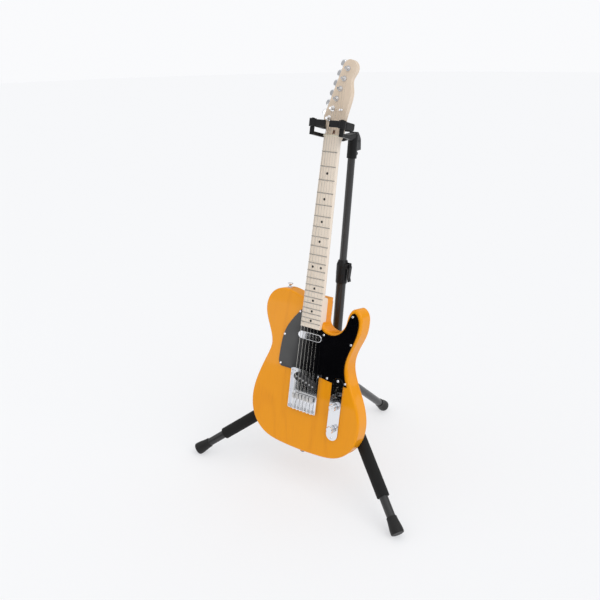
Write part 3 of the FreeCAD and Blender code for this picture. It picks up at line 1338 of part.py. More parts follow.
def make_head_cover():
    # a rounded cap over the mast's socket and down its back, with a clamp screw below
    axis_y = mast_point_at(COVER_TOP).y
    back = mast_point_at(COVER_BOTTOM).y + COVER_BACK
    front = axis_y - 2
    lid = SOCKET_TOP + 1.5
    inner = mast_point_at(COVER_BOTTOM).y
    x = -COVER_WIDTH / 2
    points = [V(x, inner, COVER_BOTTOM), V(x, back, COVER_BOTTOM), V(x, back, COVER_TOP - 20),
              V(x, front + 8, COVER_TOP), V(x, front, COVER_TOP), V(x, front, lid),
              V(x, inner + 4, lid)]
    bulge = V(x, back - 7, COVER_TOP - 6.5)
    edges = [line(points[0], points[1]), line(points[1], points[2]), arc(points[2], bulge, points[3]),
             line(points[3], points[4]), line(points[4], points[5]), line(points[5], points[6]),
             line(points[6], points[0])]
    cover = closed_face(edges).extrude(V(COVER_WIDTH, 0, 0))
    rims = [e for e in cover.Edges if abs(abs(e.CenterOfMass.x) - COVER_WIDTH / 2) < 0.01
            and e.BoundBox.YMax > back - 9 and e.BoundBox.ZMax - e.BoundBox.ZMin > 3]
    cover = cover.makeFillet(2.0, rims)
    bolt_y = back - 8
    bolt_z = COVER_TOP - 23
    bolt = rod(3.2, V(x - 1.2, bolt_y, bolt_z), V(-x + 1.2, bolt_y, bolt_z))
    screw_z = (SOCKET_BOTTOM + COVER_BOTTOM) / 2
    screw_y = mast_point_at(screw_z).y
    shank = rod(2.5, V(0, screw_y, screw_z), V(0, screw_y + 16, screw_z))
    knob = rod(5.5, V(0, screw_y + SOCKET_DIAMETER / 2 + 1.5, screw_z),
               V(0, screw_y + SOCKET_DIAMETER / 2 + 8.5, screw_z))
    knob = knob.makeFillet(1.5, [e for e in knob.Edges if e.Closed])
    socket = rod(SOCKET_DIAMETER / 2, mast_point_at(COVER_BOTTOM - 60), mast_point_at(SOCKET_TOP + 1))
    return fuse_all([cover, bolt]).cut(socket), fuse_all([shank, knob]).cut(socket)


def make_cradle():
    cradle = u_bar(ARM_INNER, ARM_INNER + ARM_WIDTH, ARM_FRONT, CRADLE_RISE, ARM_HEIGHT)
    cradle = cradle.makeFillet(3.0, cradle.Edges)
    middle = crossbar_middle()
    y = middle.y + CRADLE_RISE
    bore = rod(GUIDE_DIAMETER / 2 + RUNNING_FIT, V(0, y - 20, middle.z), V(0, y + 20, middle.z))
    # the arms' inner faces open upwards beside the headstock's flare, which rests on them
    flare = NUT_WIDTH / 2
    seat = polygon_prism([(-ARM_INNER, SCALE_LENGTH), (ARM_INNER, SCALE_LENGTH),
                          (ARM_INNER, SCALE_LENGTH + 20), (flare + 12.2, SCALE_LENGTH + 35.5),
                          (flare + 12.2, SCALE_LENGTH + 70), (-flare - 12.2, SCALE_LENGTH + 70),
                          (-flare - 12.2, SCALE_LENGTH + 35.5), (-ARM_INNER, SCALE_LENGTH + 20)],
                         YOKE_BACK + YOKE_BAR_DEPTH, 60)
    return hung(cradle.cut([bore, seat]))


def make_gate(side):
    spot = gate_pin_spot(side)
    y = gate_middle_y()
    height, thickness = GATE_FINGER
    low = y - height / 2 - 1.6
    high = y + height / 2 + 1.6
    hub = rod(GATE_HUB_DIAMETER / 2, V(spot.x, low, spot.z), V(spot.x, high, spot.z))
    tip_x = side * GATE_TIP
    x0, x1 = sorted((tip_x, spot.x))
    finger = rounded_box(x0, x1, y - height / 2, y + height / 2, spot.z - thickness / 2,
                         spot.z + thickness / 2, 2.0)
    pad_x0, pad_x1 = sorted((side * (GATE_TIP + 1.5), side * 21.0))
    pad = rounded_box(pad_x0, pad_x1, y - height / 2 + 1.2, y + height / 2 - 1.2,
                      spot.z - thickness / 2 - 3.0, spot.z, 1.4)
    gate = fuse_all([hub, finger, pad])
    return hung(gate.cut(rod(GATE_PIN_DIAMETER / 2 + RUNNING_FIT, V(spot.x, low - 1, spot.z),
                             V(spot.x, high + 1, spot.z))))


# ---- everything together
def guitar_nodes():
    blank = neck_blank()
    walnut = Part.makeCompound([blank.common(stripe_tool()), blank.common(plug_tool())])
    nodes = {
        "guitar_body": make_body(),
        "neck": make_neck(blank),
        "neck_walnut": walnut,
        "frets": make_frets(),
        "fret_markers": Part.makeCompound(marker_tools()),
        "nut": make_nut(),
        "truss_rod": make_truss_rod(),
        "tuner_housings": Part.makeCompound([make_housing(i) for i in range(TUNER_COUNT)]),
        "string_tree": make_string_tree(),
        "strings": Part.makeCompound([make_string(i) for i in range(TUNER_COUNT)]),
        "pickguard": make_guard(),
        "face_screws": make_face_screws(),
        "neck_pickup": make_neck_pickup(),
        "bridge_plate": make_bridge_plate(),
        "bridge_saddles": make_saddles(),
        "saddle_screws": make_saddle_screws(),
        "bridge_pickup": make_bridge_pickup(),
        "pickup_poles": make_poles(),
        "control_plate": make_control_plate(),
        "switch_body": make_switch_body(),
        "switch_lever": make_switch_lever(),
        "control_pots": make_pots(),
        "volume_knob": make_knob(VOLUME_Y),
        "tone_knob": make_knob(TONE_Y),
        "jack_plate": make_jack_plate(),
        "jack_socket": make_jack_socket(),
        "strap_buttons": make_strap_buttons(),
        "neck_plate": make_neck_plate(),
        "neck_screws": make_neck_screws(),
    }
    for index in range(TUNER_COUNT):
        nodes["tuner_post_%d" % (index + 1)] = make_post(index)
        nodes["tuner_button_%d" % (index + 1)] = make_button(index)
    return {name: hung(shape) for name, shape in nodes.items()}


def stand_nodes():
    nodes = {
        "leg_hub": make_hub(),
        "hub_pins": make_hub_pins(),
        "mast_lower": make_lower_mast(),
        "mast_upper": make_upper_mast(),
        "clutch_body": fuse_all([make_clutch(), make_clutch_pin()]),
        "clutch_lever": make_clutch_lever(),
        "yoke_head": make_yoke_head(),
        "head_cover": Part.makeCompound(make_head_cover()),
        "yoke_cradle": make_cradle(),
        "gate_left": make_gate(-1),
        "gate_right": make_gate(1),
    }
    for leg in LEGS:
        nodes["leg_" + leg.name] = make_leg_tube(leg)
        nodes["foot_" + leg.name] = make_cap(leg)
        if leg.has_foam:
            nodes["foam_" + leg.name] = make_foam(leg)
    return nodes


def centre_shift(nodes):
    # move the whole object so that the middle of its footprint box is the origin
    low_x = min(shape.BoundBox.XMin for shape in nodes.values())
    high_x = max(shape.BoundBox.XMax for shape in nodes.values())
    low_y = min(shape.BoundBox.YMin for shape in nodes.values())
    high_y = max(shape.BoundBox.YMax for shape in nodes.values())
    return V(-(low_x + high_x) / 2, -(low_y + high_y) / 2, 0)


NODES = guitar_nodes()
NODES.update(stand_nodes())
SHIFT = centre_shift(NODES)

os.makedirs("parts", exist_ok=True)
for name, shape in NODES.items():
    shape.translate(SHIFT)
    shape.exportStep("parts/" + name + ".step")
print("nodes:", len(NODES), "shift:", SHIFT)
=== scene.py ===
# %% [markdown]
# # An electric guitar hanging in a tripod stand
#
# This lesson dresses a finished mechanical model. The guitar and its stand arrive as exact
# pieces: body, neck, frets, strings, bridge, tuners, tubes, hinges and a yoke that closes around
# the neck. What they lack is how they look: lacquer over ash, oiled maple, chrome, pressed
# plastic, powder coat and soft foam. Each step explains one finish or piece, says how it could
# be made, and why it is made this way here.
#
# The exact pieces are never moved or reshaped. They get finishes, and the two foam sleeves,
# which a machinist's model can only draw as stiff tubes, are rebuilt as soft pieces.

import json
import math

import bmesh
import bpy
from mathutils import Matrix, Vector


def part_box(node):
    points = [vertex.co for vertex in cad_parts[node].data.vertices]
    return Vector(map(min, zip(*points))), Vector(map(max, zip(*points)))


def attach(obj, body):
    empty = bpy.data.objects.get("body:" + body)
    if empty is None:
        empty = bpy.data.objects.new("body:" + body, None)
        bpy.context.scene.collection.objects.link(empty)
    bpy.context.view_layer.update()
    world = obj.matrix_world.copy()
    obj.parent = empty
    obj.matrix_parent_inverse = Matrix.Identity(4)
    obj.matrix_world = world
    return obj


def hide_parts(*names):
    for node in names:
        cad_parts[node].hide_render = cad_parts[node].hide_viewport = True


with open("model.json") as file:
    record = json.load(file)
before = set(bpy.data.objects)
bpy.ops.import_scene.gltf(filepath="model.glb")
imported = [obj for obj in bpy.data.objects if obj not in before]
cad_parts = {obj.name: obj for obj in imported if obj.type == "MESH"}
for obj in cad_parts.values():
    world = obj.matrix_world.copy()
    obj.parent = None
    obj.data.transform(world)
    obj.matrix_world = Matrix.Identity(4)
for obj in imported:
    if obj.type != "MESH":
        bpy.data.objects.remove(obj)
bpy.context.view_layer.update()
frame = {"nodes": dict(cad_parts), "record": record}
nodes = frame["nodes"]

# %% [markdown]
# ## Two directions that everything on the guitar follows
#
# The guitar leans back in the stand. Wood grain, brushing and string windings all run along the
# guitar and not along the room, so the lean is found once, from two pieces that lie on the
# face: the nut at the top of the neck and the bridge plate on the body.

# %% Find the guitar's own directions
def middle(node):
    low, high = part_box(node)
    return (low + high) / 2


lean_line = middle("nut") - middle("bridge_plate")
ALONG_NECK = Vector((0, lean_line.y, lean_line.z)).normalized()
OUT_OF_FACE = ALONG_NECK.cross(Vector((1, 0, 0)))
if OUT_OF_FACE.y > 0:
    OUT_OF_FACE = -OUT_OF_FACE
ACROSS = Vector((1, 0, 0))
lean = math.degrees(math.atan2(ALONG_NECK.y, ALONG_NECK.z))
print("the guitar leans back", round(lean, 1), "degrees")

# %% [markdown]
# ## Writing shader maths as sums
#
# A procedural finish is arithmetic on position: stretch it, feed it to a noise, scale and fold
# the result, mix two colours by it. Wiring that by hand hides the idea, so one small class stands
# for a node's output and turns `a * 3 + b` into Math nodes. The reflected forms let a plain
# number come first, as in `1.0 - wound`.

# %% A value that travels along a wire
class Wire:
    def __init__(self, finish, socket):
        self.finish = finish
        self.socket = socket

    def math(self, operation, *others):
        values = {i: v for i, v in enumerate(others)}
        return self.finish.node("Math", {"operation": operation}, values)

    def __add__(self, other):
        return self.math("ADD", self, other)

    __radd__ = __add__

    def __rsub__(self, other):
        return self.math("SUBTRACT", other, self)

    def __mul__(self, other):
        return self.math("MULTIPLY", self, other)

    __rmul__ = __mul__

    def above(self, edge, width):
        # 0 below the edge, 1 above it, with a soft step of that width
        settings = {"interpolation_type": "SMOOTHSTEP"}
        values = {"Value": self, "From Min": edge, "From Max": edge + width}
        return self.finish.node("MapRange", settings, values)

    def folded(self, size):
        # goes up and down between 0 and size
        return self.math("PINGPONG", self, size)


print("Wire understands sums, products, soft steps and folds")

# %% [markdown]
# ## A finish is one material with a principled shader
#
# Numbers and colours that are the same all over a surface are set on the shader itself. What
# varies is wired in. Every other node comes from one method, so that a finish reads from top to
# bottom: type, settings, then sockets.

# %% A finish and its helpers
class Finish:
    def __init__(self, name, **same_everywhere):
        self.material = bpy.data.materials.new(name)
        self.material.use_nodes = True
        self.tree = self.material.node_tree
        self.shader = self.tree.nodes["Principled BSDF"]
        for socket, value in same_everywhere.items():
            self.set(socket.replace("_", " ").title().replace("Ior", "IOR"), value)

    def plug(self, socket, value):
        if isinstance(value, Wire):
            self.tree.links.new(value.socket, socket)
        elif socket.type == "RGBA":
            socket.default_value = (*value, 1.0)
        else:
            socket.default_value = value

    def set(self, socket, value):
        self.plug(self.shader.inputs[socket], value)

    def node(self, kind, settings, values, out=0):
        made = self.tree.nodes.new("ShaderNode" + kind)
        for name, value in settings.items():
            setattr(made, name, value)
        for name, value in values.items():
            self.plug(made.inputs[name], value)
        return Wire(self, made.outputs[out])

    def place(self):
        return self.node("TexCoord", {}, {}, out="Object")

    def measured(self, direction):
        # how far a point lies along a direction, in metres
        settings = {"operation": "DOT_PRODUCT"}
        return self.node("VectorMath", settings, {0: self.place(), 1: direction}, out="Value")

    def stretched(self, across, along, outward):
        # the guitar's own directions, each with its own repeats per metre
        values = {"X": self.measured(ACROSS) * across,
                  "Y": self.measured(ALONG_NECK) * along,
                  "Z": self.measured(OUT_OF_FACE) * outward}
        return self.node("CombineXYZ", {}, values)

    def noise(self, vector, scale, detail=3.0, wander=0.0):
        values = {"Vector": vector, "Scale": scale, "Detail": detail, "Distortion": wander}
        return self.node("TexNoise", {}, values)

    def blend(self, factor, first, second):
        settings = {"data_type": "RGBA"}
        return self.node("Mix", settings, {0: factor, 6: first, 7: second}, out=2)

    def relief(self, height, depth, strength=1.0):
        # a bump of that depth in metres
        values = {"Height": height, "Distance": depth, "Strength": strength}
        self.set("Normal", self.node("Bump", {}, values))


finishes = {}
print("a finish can measure, stretch, mix and emboss")

# %% [markdown]
# ## Amber lacquer over ash
#
# The body is a slab of ash under a thin amber lacquer. Ash shows broad arches where the saw
# crossed its growth rings, and short dark pores along them. The arches could be drawn from a
# wave pattern, but waves look ruled. Contour lines of a slow, stretched noise wander the way
# rings do, so the noise is folded up and down several times. The lacquer is the shader's coat:
# a clear, smooth layer that keeps its own reflections while the colour below stays deep.

# %% The body's lacquer
# repeats per metre across the guitar, along its neck and out of its face
RINGS = (7.0, 1.3, 7.0)
STREAKS = (320.0, 9.0, 320.0)
PORES = (900.0, 26.0, 900.0)
ARCHES = 16.0
PORE_DEPTH = 0.00006
AMBER = (0.90, 0.345, 0.006)
DEEP_AMBER = (0.74, 0.240, 0.004)
PORE_BROWN = (0.52, 0.15, 0.003)


def amber_lacquer():
    finish = Finish("amber_lacquer", roughness=0.4, specular_ior_level=0.05,
                    coat_weight=0.5, coat_roughness=0.03, coat_ior=1.42)
    rings = finish.noise(finish.stretched(*RINGS), 1.0, detail=2.0, wander=0.4)
    arches = (rings * ARCHES).folded(1.0)
    streaks = finish.noise(finish.stretched(*STREAKS), 1.0, detail=4.0)
    pores = finish.noise(finish.stretched(*PORES), 1.0, detail=2.0).above(0.60, 0.09)
    late_wood = arches.above(0.45, 0.5)
    colour = finish.blend(late_wood * 0.20 + streaks * 0.22, AMBER, DEEP_AMBER)
    colour = finish.blend(pores * (late_wood * 0.22 + 0.10), colour, PORE_BROWN)
    finish.set("Base Color", colour)
    finish.relief(pores * -1.0, PORE_DEPTH, 0.5)
    return finish


finishes["amber_lacquer"] = amber_lacquer()
print("lacquer:", len(finishes["amber_lacquer"].tree.nodes), "nodes")

# %% [markdown]
# ## Maple and walnut
#
# The neck is one piece of maple with a clear satin finish. Maple is pale and close, with fine
# lines along the neck and tiny flecks across it. Past the nut the colour is blended darker and
# warmer. A stripe and plug of walnut fill the slot that the steel rod went in through from behind.
# Both woods are the same recipe with other colours and another strength, so one function makes them.

# %% The neck's two woods
NUT_HEIGHT = middle("nut").dot(ALONG_NECK)
HEAD_STEP = 0.004
HEAD_SHADE = 0.45
FIGURE = (30.0, 2.2, 30.0)
FINE_LINES = (420.0, 7.0, 420.0)
FLECKS = (700.0, 230.0, 700.0)
LINE_DEPTH = 0.00003


def close_grained(name, pale, dark, contrast, coat):
    finish = Finish(name, roughness=0.4, specular_ior_level=0.2, coat_weight=coat,
                    coat_roughness=0.16)
    broad = finish.noise(finish.stretched(*FIGURE), 1.0, detail=3.0, wander=0.7)
    lines = finish.noise(finish.stretched(*FINE_LINES), 1.0, detail=5.0)
    flecks = finish.noise(finish.stretched(*FLECKS), 1.0, detail=1.0).above(0.66, 0.08)
    shade = (broad.folded(0.5) * 0.9 + lines * 0.5) * contrast
    colour = finish.blend(shade, pale, dark)
    colour = finish.blend(flecks * 0.22 * contrast, colour, dark)
    # past the nut the colour is blended part of the way towards the dark colour
    past_nut = finish.measured(ALONG_NECK).above(NUT_HEIGHT, HEAD_STEP)
    finish.set("Base Color", finish.blend(past_nut * HEAD_SHADE, colour, dark))
    finish.relief(lines, LINE_DEPTH, 0.4)
    return finish


finishes["maple"] = close_grained("maple", (0.95, 0.87, 0.77), (0.70, 0.51, 0.34), 0.40, 0.35)
finishes["walnut"] = close_grained("walnut", (0.26, 0.13, 0.07), (0.10, 0.045, 0.025), 0.9, 0.5)
print("woods: maple and walnut")

# %% [markdown]
# ## Chrome, nickel and steel
#
# Plated metal is smooth, but not perfect: it is a mirror with a haze that changes slowly, and
# small wipe marks. Ground steel has short lines along one direction. Both are a metallic shader
# whose roughness is a noise. For ground parts the noise is stretched along the guitar, and the
# same noise is a very shallow relief, which breaks a highlight into threads.

# %% Metals
WIPES = (500.0, 90.0, 300.0)
THREADS = (2600.0, 60.0, 2600.0)


def plated(name, colour, roughness, haze):
    finish = Finish(name, base_color=colour, metallic=1.0)
    slow = finish.noise(finish.place(), 60.0, detail=4.0)
    wiped = finish.noise(finish.stretched(*WIPES), 1.0, detail=2.0).above(0.62, 0.1)
    finish.set("Roughness", slow * haze + wiped * (haze * 0.6) + roughness)
    return finish


def ground(name, colour, roughness, depth):
    finish = Finish(name, base_color=colour, metallic=1.0)
    threads = finish.noise(finish.stretched(*THREADS), 1.0, detail=2.0)
    cloudy = finish.noise(finish.place(), 90.0, detail=3.0)
    finish.set("Roughness", threads * 0.18 + cloudy * 0.10 + roughness)
    finish.relief(threads, depth, 0.6)
    return finish


finishes["chrome"] = plated("chrome", (0.80, 0.81, 0.84), 0.02, 0.05)
finishes["nickel_silver"] = plated("nickel_silver", (0.42, 0.40, 0.37), 0.20, 0.14)
finishes["steel"] = ground("steel", (0.55, 0.55, 0.56), 0.22, 0.00002)
finishes["saddle_steel"] = ground("saddle_steel", (0.62, 0.61, 0.60), 0.16, 0.00002)
finishes["magnet"] = ground("magnet", (0.48, 0.48, 0.49), 0.26, 0.00001)
finishes["control_gear"] = ground("control_gear", (0.56, 0.53, 0.44), 0.30, 0.00002)
print("metals:", [n for n in finishes if n not in ("amber_lacquer", "maple", "walnut")])

# %% [markdown]
# ## Strings
#
# The three thick strings are wound: a fine wire lies around the core, a third of a millimetre
# from turn to turn. The three thin ones are bare. The thick ones are on the bass side, where
# the measure across the guitar is negative, so one finish serves all six: the windings are a
# fold along the neck that fades out past the middle.

# %% Wound and plain strings
WINDING = 0.00035
LAST_WOUND = -0.002
FADE = 0.002


def string_steel():
    finish = Finish("string_steel", base_color=(0.68, 0.66, 0.62), metallic=1.0)
    turns = (finish.measured(ALONG_NECK) * (1.0 / WINDING)).folded(0.5)
    wound = 1.0 - finish.measured(ACROSS).above(LAST_WOUND, FADE)
    finish.set("Roughness", wound * 0.12 + 0.18)
    finish.relief(turns * wound, WINDING * 0.6, 0.8)
    return finish


finishes["string_steel"] = string_steel()
print("winding pitch:", WINDING * 1000, "mm")

# %% [markdown]
# ## Hard plastics
#
# The guard is sheet plastic, polished almost like glass. Pickup covers
# and the stand's mouldings come from a mould with a fine spark texture, which spreads the
# highlight. One function covers them all: colour, gloss, and how deep the pebble is.

# %% Plastics and bone
PEBBLES_PER_METRE = 1800.0
HANDLED_PER_METRE = 24.0


def moulded(name, colour, roughness, pebble, shine=0.35):
    finish = Finish(name, specular_ior_level=shine)
    grain = finish.noise(finish.place(), PEBBLES_PER_METRE, detail=2.0)
    handled = finish.noise(finish.place(), HANDLED_PER_METRE, detail=4.0)
    worn = tuple(min(1.0, c * 1.3 + 0.0015) for c in colour)
    finish.set("Base Color", finish.blend(handled * 0.5, colour, worn))
    finish.set("Roughness", handled * 0.10 + roughness)
    finish.relief(grain, pebble, 0.7)
    return finish


finishes["guard_black"] = moulded("guard_black", (0.0015, 0.0015, 0.0022), 0.02, 0.000001, shine=0.5)
finishes["tip_black"] = moulded("tip_black", (0.010, 0.010, 0.011), 0.14, 0.00001, shine=0.5)
finishes["black_dots"] = moulded("black_dots", (0.012, 0.011, 0.010), 0.25, 0.00001)
finishes["bobbin_black"] = moulded("bobbin_black", (0.016, 0.016, 0.017), 0.42, 0.00003)
finishes["bone"] = moulded("bone", (0.78, 0.73, 0.60), 0.34, 0.00002)
finishes["stand_plastic"] = moulded("stand_plastic", (0.007, 0.007, 0.008), 0.30, 0.00004, shine=0.28)
finishes["cover_grey"] = moulded("cover_grey", (0.040, 0.041, 0.044), 0.38, 0.00004)
print("plastics:", [n for n in finishes if "black" in n])

# %% [markdown]
# ## Powder coat on the tubes
#
# The stand's tubes are sprayed with powder and baked. The film flows into a soft orange peel
# about a millimetre across, and it scuffs pale where tubes slide and fold. The upper mast is a
# lighter, smoother grey-black tube that slides into the lower one.

# %% Tube finishes
PEEL_PER_METRE = 900.0
SCUFFS_PER_METRE = 70.0


def powder_coat(name, colour, roughness, peel):
    finish = Finish(name, coat_weight=0.25, coat_roughness=0.25)
    ripple = finish.noise(finish.place(), PEEL_PER_METRE, detail=1.0)
    scuff = finish.noise(finish.place(), SCUFFS_PER_METRE, detail=6.0).above(0.66, 0.12)
    pale = tuple(c * 2.2 + 0.02 for c in colour)
    finish.set("Base Color", finish.blend(scuff * 0.35, colour, pale))
    finish.set("Roughness", scuff * 0.12 + ripple * 0.08 + roughness)
    finish.relief(ripple, peel, 0.6)
    return finish


finishes["stand_black"] = powder_coat("stand_black", (0.012, 0.012, 0.013), 0.30, 0.00006)
finishes["mast_grey"] = powder_coat("mast_grey", (0.032, 0.032, 0.034), 0.26, 0.00003)
print("tubes: black and grey powder coat")

# %% [markdown]
# ## Rubber and foam
#
# Feet and yoke pads are rubber: dark, dull, with a little sheen at a glancing angle. The leg
# sleeves are closed-cell foam, even duller, with cells about half a millimetre across that a
# cell pattern draws better than a noise does.

# %% Soft finishes
DUST_PER_METRE = 35.0


def rubbery(name, colour, roughness, cells_per_metre, depth, sheen):
    finish = Finish(name, specular_ior_level=0.22, sheen_weight=sheen, sheen_roughness=0.5)
    values = {"Vector": finish.place(), "Scale": cells_per_metre}
    cells = finish.node("TexVoronoi", {"feature": "F1"}, values)
    dusty = finish.noise(finish.place(), DUST_PER_METRE, detail=5.0)
    grey = tuple(c * 1.5 + 0.004 for c in colour)
    finish.set("Base Color", finish.blend(dusty * 0.6, colour, grey))
    finish.set("Roughness", dusty * 0.12 + roughness)
    finish.relief(cells, depth, 0.8)
    return finish


finishes["foot_rubber"] = rubbery("foot_rubber", (0.012, 0.012, 0.012), 0.42, 1400.0, 0.00005, 0.05)
finishes["pad_rubber"] = rubbery("pad_rubber", (0.010, 0.010, 0.011), 0.40, 1500.0, 0.00005, 0.03)
finishes["foam"] = rubbery("foam", (0.009, 0.009, 0.009), 0.75, 1700.0, 0.00022, 0.04)
print("soft finishes: feet, pads, foam")

# %% [markdown]
# ## Dressing the exact pieces
#
# Each exact piece names the finish it takes, so one loop dresses the whole object. A piece
# with no finish would be a mistake, and the lookup would stop the script.

# %% Give every exact piece its finish
for row in frame["record"]["subparts"]:
    piece = nodes[row["node"]]
    finish = finishes[row["material_slot"]]
    for slot in piece.material_slots:
        slot.material = finish.material

# %% [markdown]
# ## Foam sleeves
#
# The two front legs wear foam sleeves that keep the lacquer off the steel, and the guitar's back
# presses into them. The stiff tubes already have the right place and the dent. Foam differs in
# its edges and its skin: cut ends that bulge, no sharp line where it is pressed, and slow
# unevenness along its length. The tube is remeshed into small even cells, smoothed so that
# every edge softens, and pushed in and out by a slow noise.

# %% Build the soft sleeves
FOAM_CELL = 0.0012
FOAM_UNEVEN = 0.0007
FOAM_LUMP = 0.018
SOFTENING_PASSES = 10
MOSTLY_INWARD = 0.6


def applied(piece):
    # the piece's mesh with its modifiers made final
    depsgraph = bpy.context.evaluated_depsgraph_get()
    mesh = bpy.data.meshes.new_from_object(piece.evaluated_get(depsgraph))
    piece.modifiers.clear()
    piece.data = mesh
    return piece


def foam_sleeve(side):
    sleeve = bpy.data.objects.new("foam_sleeve_" + side, nodes["foam_" + side].data.copy())
    bpy.context.scene.collection.objects.link(sleeve)
    cells = sleeve.modifiers.new("even cells", "REMESH")
    cells.mode = "VOXEL"
    cells.voxel_size = FOAM_CELL
    soft = sleeve.modifiers.new("soft edges", "SMOOTH")
    soft.iterations = SOFTENING_PASSES
    slow = bpy.data.textures.new("slow_" + side, "CLOUDS")
    slow.noise_scale = FOAM_LUMP
    uneven = sleeve.modifiers.new("uneven skin", "DISPLACE")
    uneven.texture = slow
    uneven.texture_coords = "LOCAL"
    uneven.strength = FOAM_UNEVEN
    uneven.mid_level = MOSTLY_INWARD
    applied(sleeve)
    for face in sleeve.data.polygons:
        face.use_smooth = True
    sleeve.data.materials.clear()
    sleeve.data.materials.append(finishes["foam"].material)
    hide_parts("foam_" + side)
    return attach(sleeve, "leg_" + side)


for side in ("left", "right"):
    made = foam_sleeve(side)
    print(made.name, len(made.data.vertices), "points")

# %% [markdown]
# ## Floor, light and camera
#
# The floor is a wide matt disc, slightly uneven in tone, as painted boards are. Nothing near it
# lights it more in one place than in another, so it runs into the white distance unseen. Half
# of its brightness is its own glow, as on a lit table, which keeps the shadows faint.

# %% Floor
FLOOR_RADIUS = 14.0
FLOOR_DROP = 0.0005
FLOOR_GLOW = (0.465, 0.470, 0.482)


def studio_floor():
    mesh = bpy.data.meshes.new("studio_floor")
    shape = bmesh.new()
    bmesh.ops.create_circle(shape, cap_ends=True, segments=96, radius=FLOOR_RADIUS)
    shape.to_mesh(mesh)
    shape.free()
    floor = bpy.data.objects.new("studio_floor", mesh)
    bpy.context.scene.collection.objects.link(floor)
    paint = Finish("floor_paint", roughness=0.8, specular_ior_level=0.0,
                   emission_color=FLOOR_GLOW, emission_strength=1.0)
    tone = paint.noise(paint.place(), 0.8, detail=2.0)
    paint.set("Base Color", paint.blend(tone * 0.3, (0.455, 0.457, 0.462), (0.445, 0.447, 0.452)))
    mesh.materials.append(paint.material)
    floor.location.z = -FLOOR_DROP
    return floor


print("floor:", studio_floor().name)

# %% Sky
PAPER_WHITE = (0.955, 0.960, 0.975, 1.0)
SKY_TOP = 1.17
SKY_RIM = 0.22
SKY_HAZE = 0.62


def studio_sky():
    # the camera sees even paper; the object sees a bright ceiling over darker walls
    sky = bpy.data.worlds.new("sky")
    sky.use_nodes = True
    tree = sky.node_tree
    paper = tree.nodes["Background"]
    paper.inputs["Color"].default_value = PAPER_WHITE
    room = tree.nodes.new("ShaderNodeBackground")
    height = tree.nodes.new("ShaderNodeSeparateXYZ")
    direction = tree.nodes.new("ShaderNodeTexCoord")
    rise = tree.nodes.new("ShaderNodeMapRange")
    rise.interpolation_type = "SMOOTHSTEP"
    ends = {"From Min": 0.0, "From Max": SKY_HAZE, "To Min": SKY_RIM, "To Max": SKY_TOP}
    for name, value in ends.items():
        rise.inputs[name].default_value = value
    seen = tree.nodes.new("ShaderNodeLightPath")
    either = tree.nodes.new("ShaderNodeMixShader")
    join = tree.links.new
    join(direction.outputs["Generated"], height.inputs["Vector"])
    join(height.outputs["Z"], rise.inputs["Value"])
    join(rise.outputs["Result"], room.inputs["Strength"])
    join(seen.outputs["Is Camera Ray"], either.inputs["Fac"])
    join(room.outputs["Background"], either.inputs[1])
    join(paper.outputs["Background"], either.inputs[2])
    join(either.outputs["Shader"], tree.nodes["World Output"].inputs["Surface"])
    bpy.context.scene.world = sky


studio_sky()
bpy.context.scene.view_settings.view_transform = "Standard"
print("sky from", SKY_RIM, "at the rim to", SKY_TOP, "overhead")

# %% [markdown]
# ## Window light, a strip and a black board
#
# One wide window light from the treble side brightens the body's edge and leaves faint shadows.
# Polished things show what stands around them. A black board out in front, to the bass side, is
# what the flat guard and the upper half of the bridge mirror, so they read as black gloss and
# crisp chrome. A narrow bright panel past its end gives the guard one pale reflection along its
# bass side. The camera sees none of them.

# %% Lights and board
STRIP_PLACE = (-1.64, -2.10, 0.80)
STRIP_AIM = (-0.05, -0.15, 0.80)
STRIP_WATTS = 3.6
WINDOW_PLACE = (2.2, -0.5, 2.2)
WINDOW_WIDTH_ANGLE = 50.0
WINDOW_STRENGTH = 0.85


def aimed(thing, place, aim):
    thing.location = place
    thing.rotation_euler = (Vector(aim) - Vector(place)).to_track_quat("-Z", "Y").to_euler()
    thing.visible_camera = False
    bpy.context.scene.collection.objects.link(thing)
    return thing


def panel(name, place, aim, wide, tall, power):
    light = bpy.data.lights.new(name, "AREA")
    light.shape = "RECTANGLE"
    light.size = wide
    light.size_y = tall
    light.energy = power
    return aimed(bpy.data.objects.new(name, light), place, aim)


def window_light(place, aim, width_angle, strength):
    light = bpy.data.lights.new("window_light", "SUN")
    light.angle = math.radians(width_angle)
    light.energy = strength
    return aimed(bpy.data.objects.new("window_light", light), place, aim)


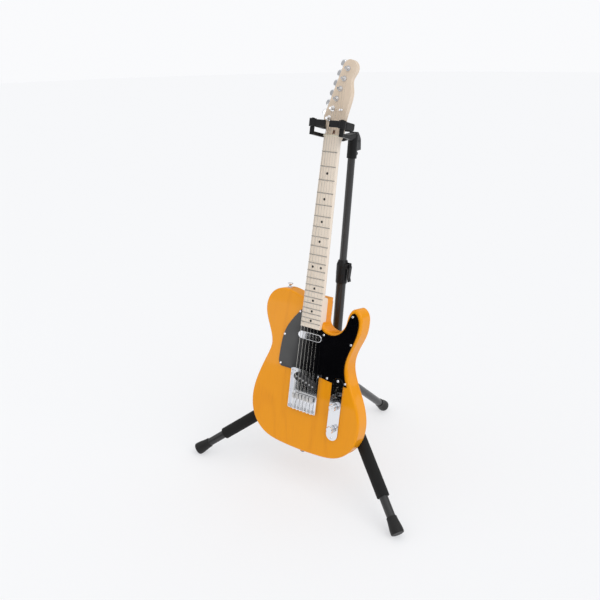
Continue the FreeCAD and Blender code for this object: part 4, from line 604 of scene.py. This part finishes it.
def black_board(left, right, front, tall):
    # mirrors show it, but it takes no light away from the scene
    mesh = bpy.data.meshes.new("black_board")
    shape = bmesh.new()
    feet = [shape.verts.new(place) for place in ((left, front, 0), (right, front, 0))]
    tops = [shape.verts.new(place) for place in ((right, front, tall), (left, front, tall))]
    shape.faces.new(feet + tops)
    shape.to_mesh(mesh)
    shape.free()
    velvet = Finish("board_velvet", roughness=0.9, specular_ior_level=0.0)
    nap = velvet.noise(velvet.place(), 40.0)
    velvet.set("Base Color", velvet.blend(nap, (0.004, 0.004, 0.004), (0.008, 0.008, 0.008)))
    mesh.materials.append(velvet.material)
    board = bpy.data.objects.new("black_board", mesh)
    bpy.context.scene.collection.objects.link(board)
    board.visible_camera = False
    board.visible_diffuse = False
    board.visible_shadow = False
    return board


body_middle = middle("guitar_body")
black_board(left=-0.915, right=-0.30, front=-1.60, tall=1.0)
panel("bass_strip", STRIP_PLACE, STRIP_AIM, wide=0.62, tall=1.6, power=STRIP_WATTS)
window_light(WINDOW_PLACE, body_middle, WINDOW_WIDTH_ANGLE, WINDOW_STRENGTH)
print("lights aim at", [round(v, 2) for v in body_middle])

# %% [markdown]
# ## Camera
#
# The camera stands in front on the treble side, a little above the guitar, and looks down at
# it. Its directions come from three angles: how far it is turned from straight ahead, how far it
# looks down, and a slight roll.

# %% Camera
CAMERA_PLACE = Vector((0.9330, -1.4815, 1.1503))
CAMERA_TURN = math.radians(35.73)
CAMERA_DROP = math.radians(21.76)
CAMERA_ROLL = math.radians(1.05)
CAMERA_LENS = 42.99


def camera_axes():
    ahead = Vector((-math.sin(CAMERA_TURN) * math.cos(CAMERA_DROP),
                    math.cos(CAMERA_TURN) * math.cos(CAMERA_DROP), -math.sin(CAMERA_DROP)))
    level = Vector((math.cos(CAMERA_TURN), math.sin(CAMERA_TURN), 0))
    below = ahead.cross(level)
    right = level * math.cos(CAMERA_ROLL) + below * math.sin(CAMERA_ROLL)
    down = below * math.cos(CAMERA_ROLL) - level * math.sin(CAMERA_ROLL)
    return right, -down, -ahead


right, up, back = camera_axes()
camera = bpy.data.objects.new("camera", bpy.data.cameras.new("camera"))
camera.data.lens = CAMERA_LENS
turn = Matrix((right, up, back)).transposed().to_4x4()
camera.matrix_world = Matrix.Translation(CAMERA_PLACE) @ turn
bpy.context.scene.collection.objects.link(camera)
bpy.context.scene.camera = camera
print("camera is", round((CAMERA_PLACE - body_middle).length, 2), "m from the body")
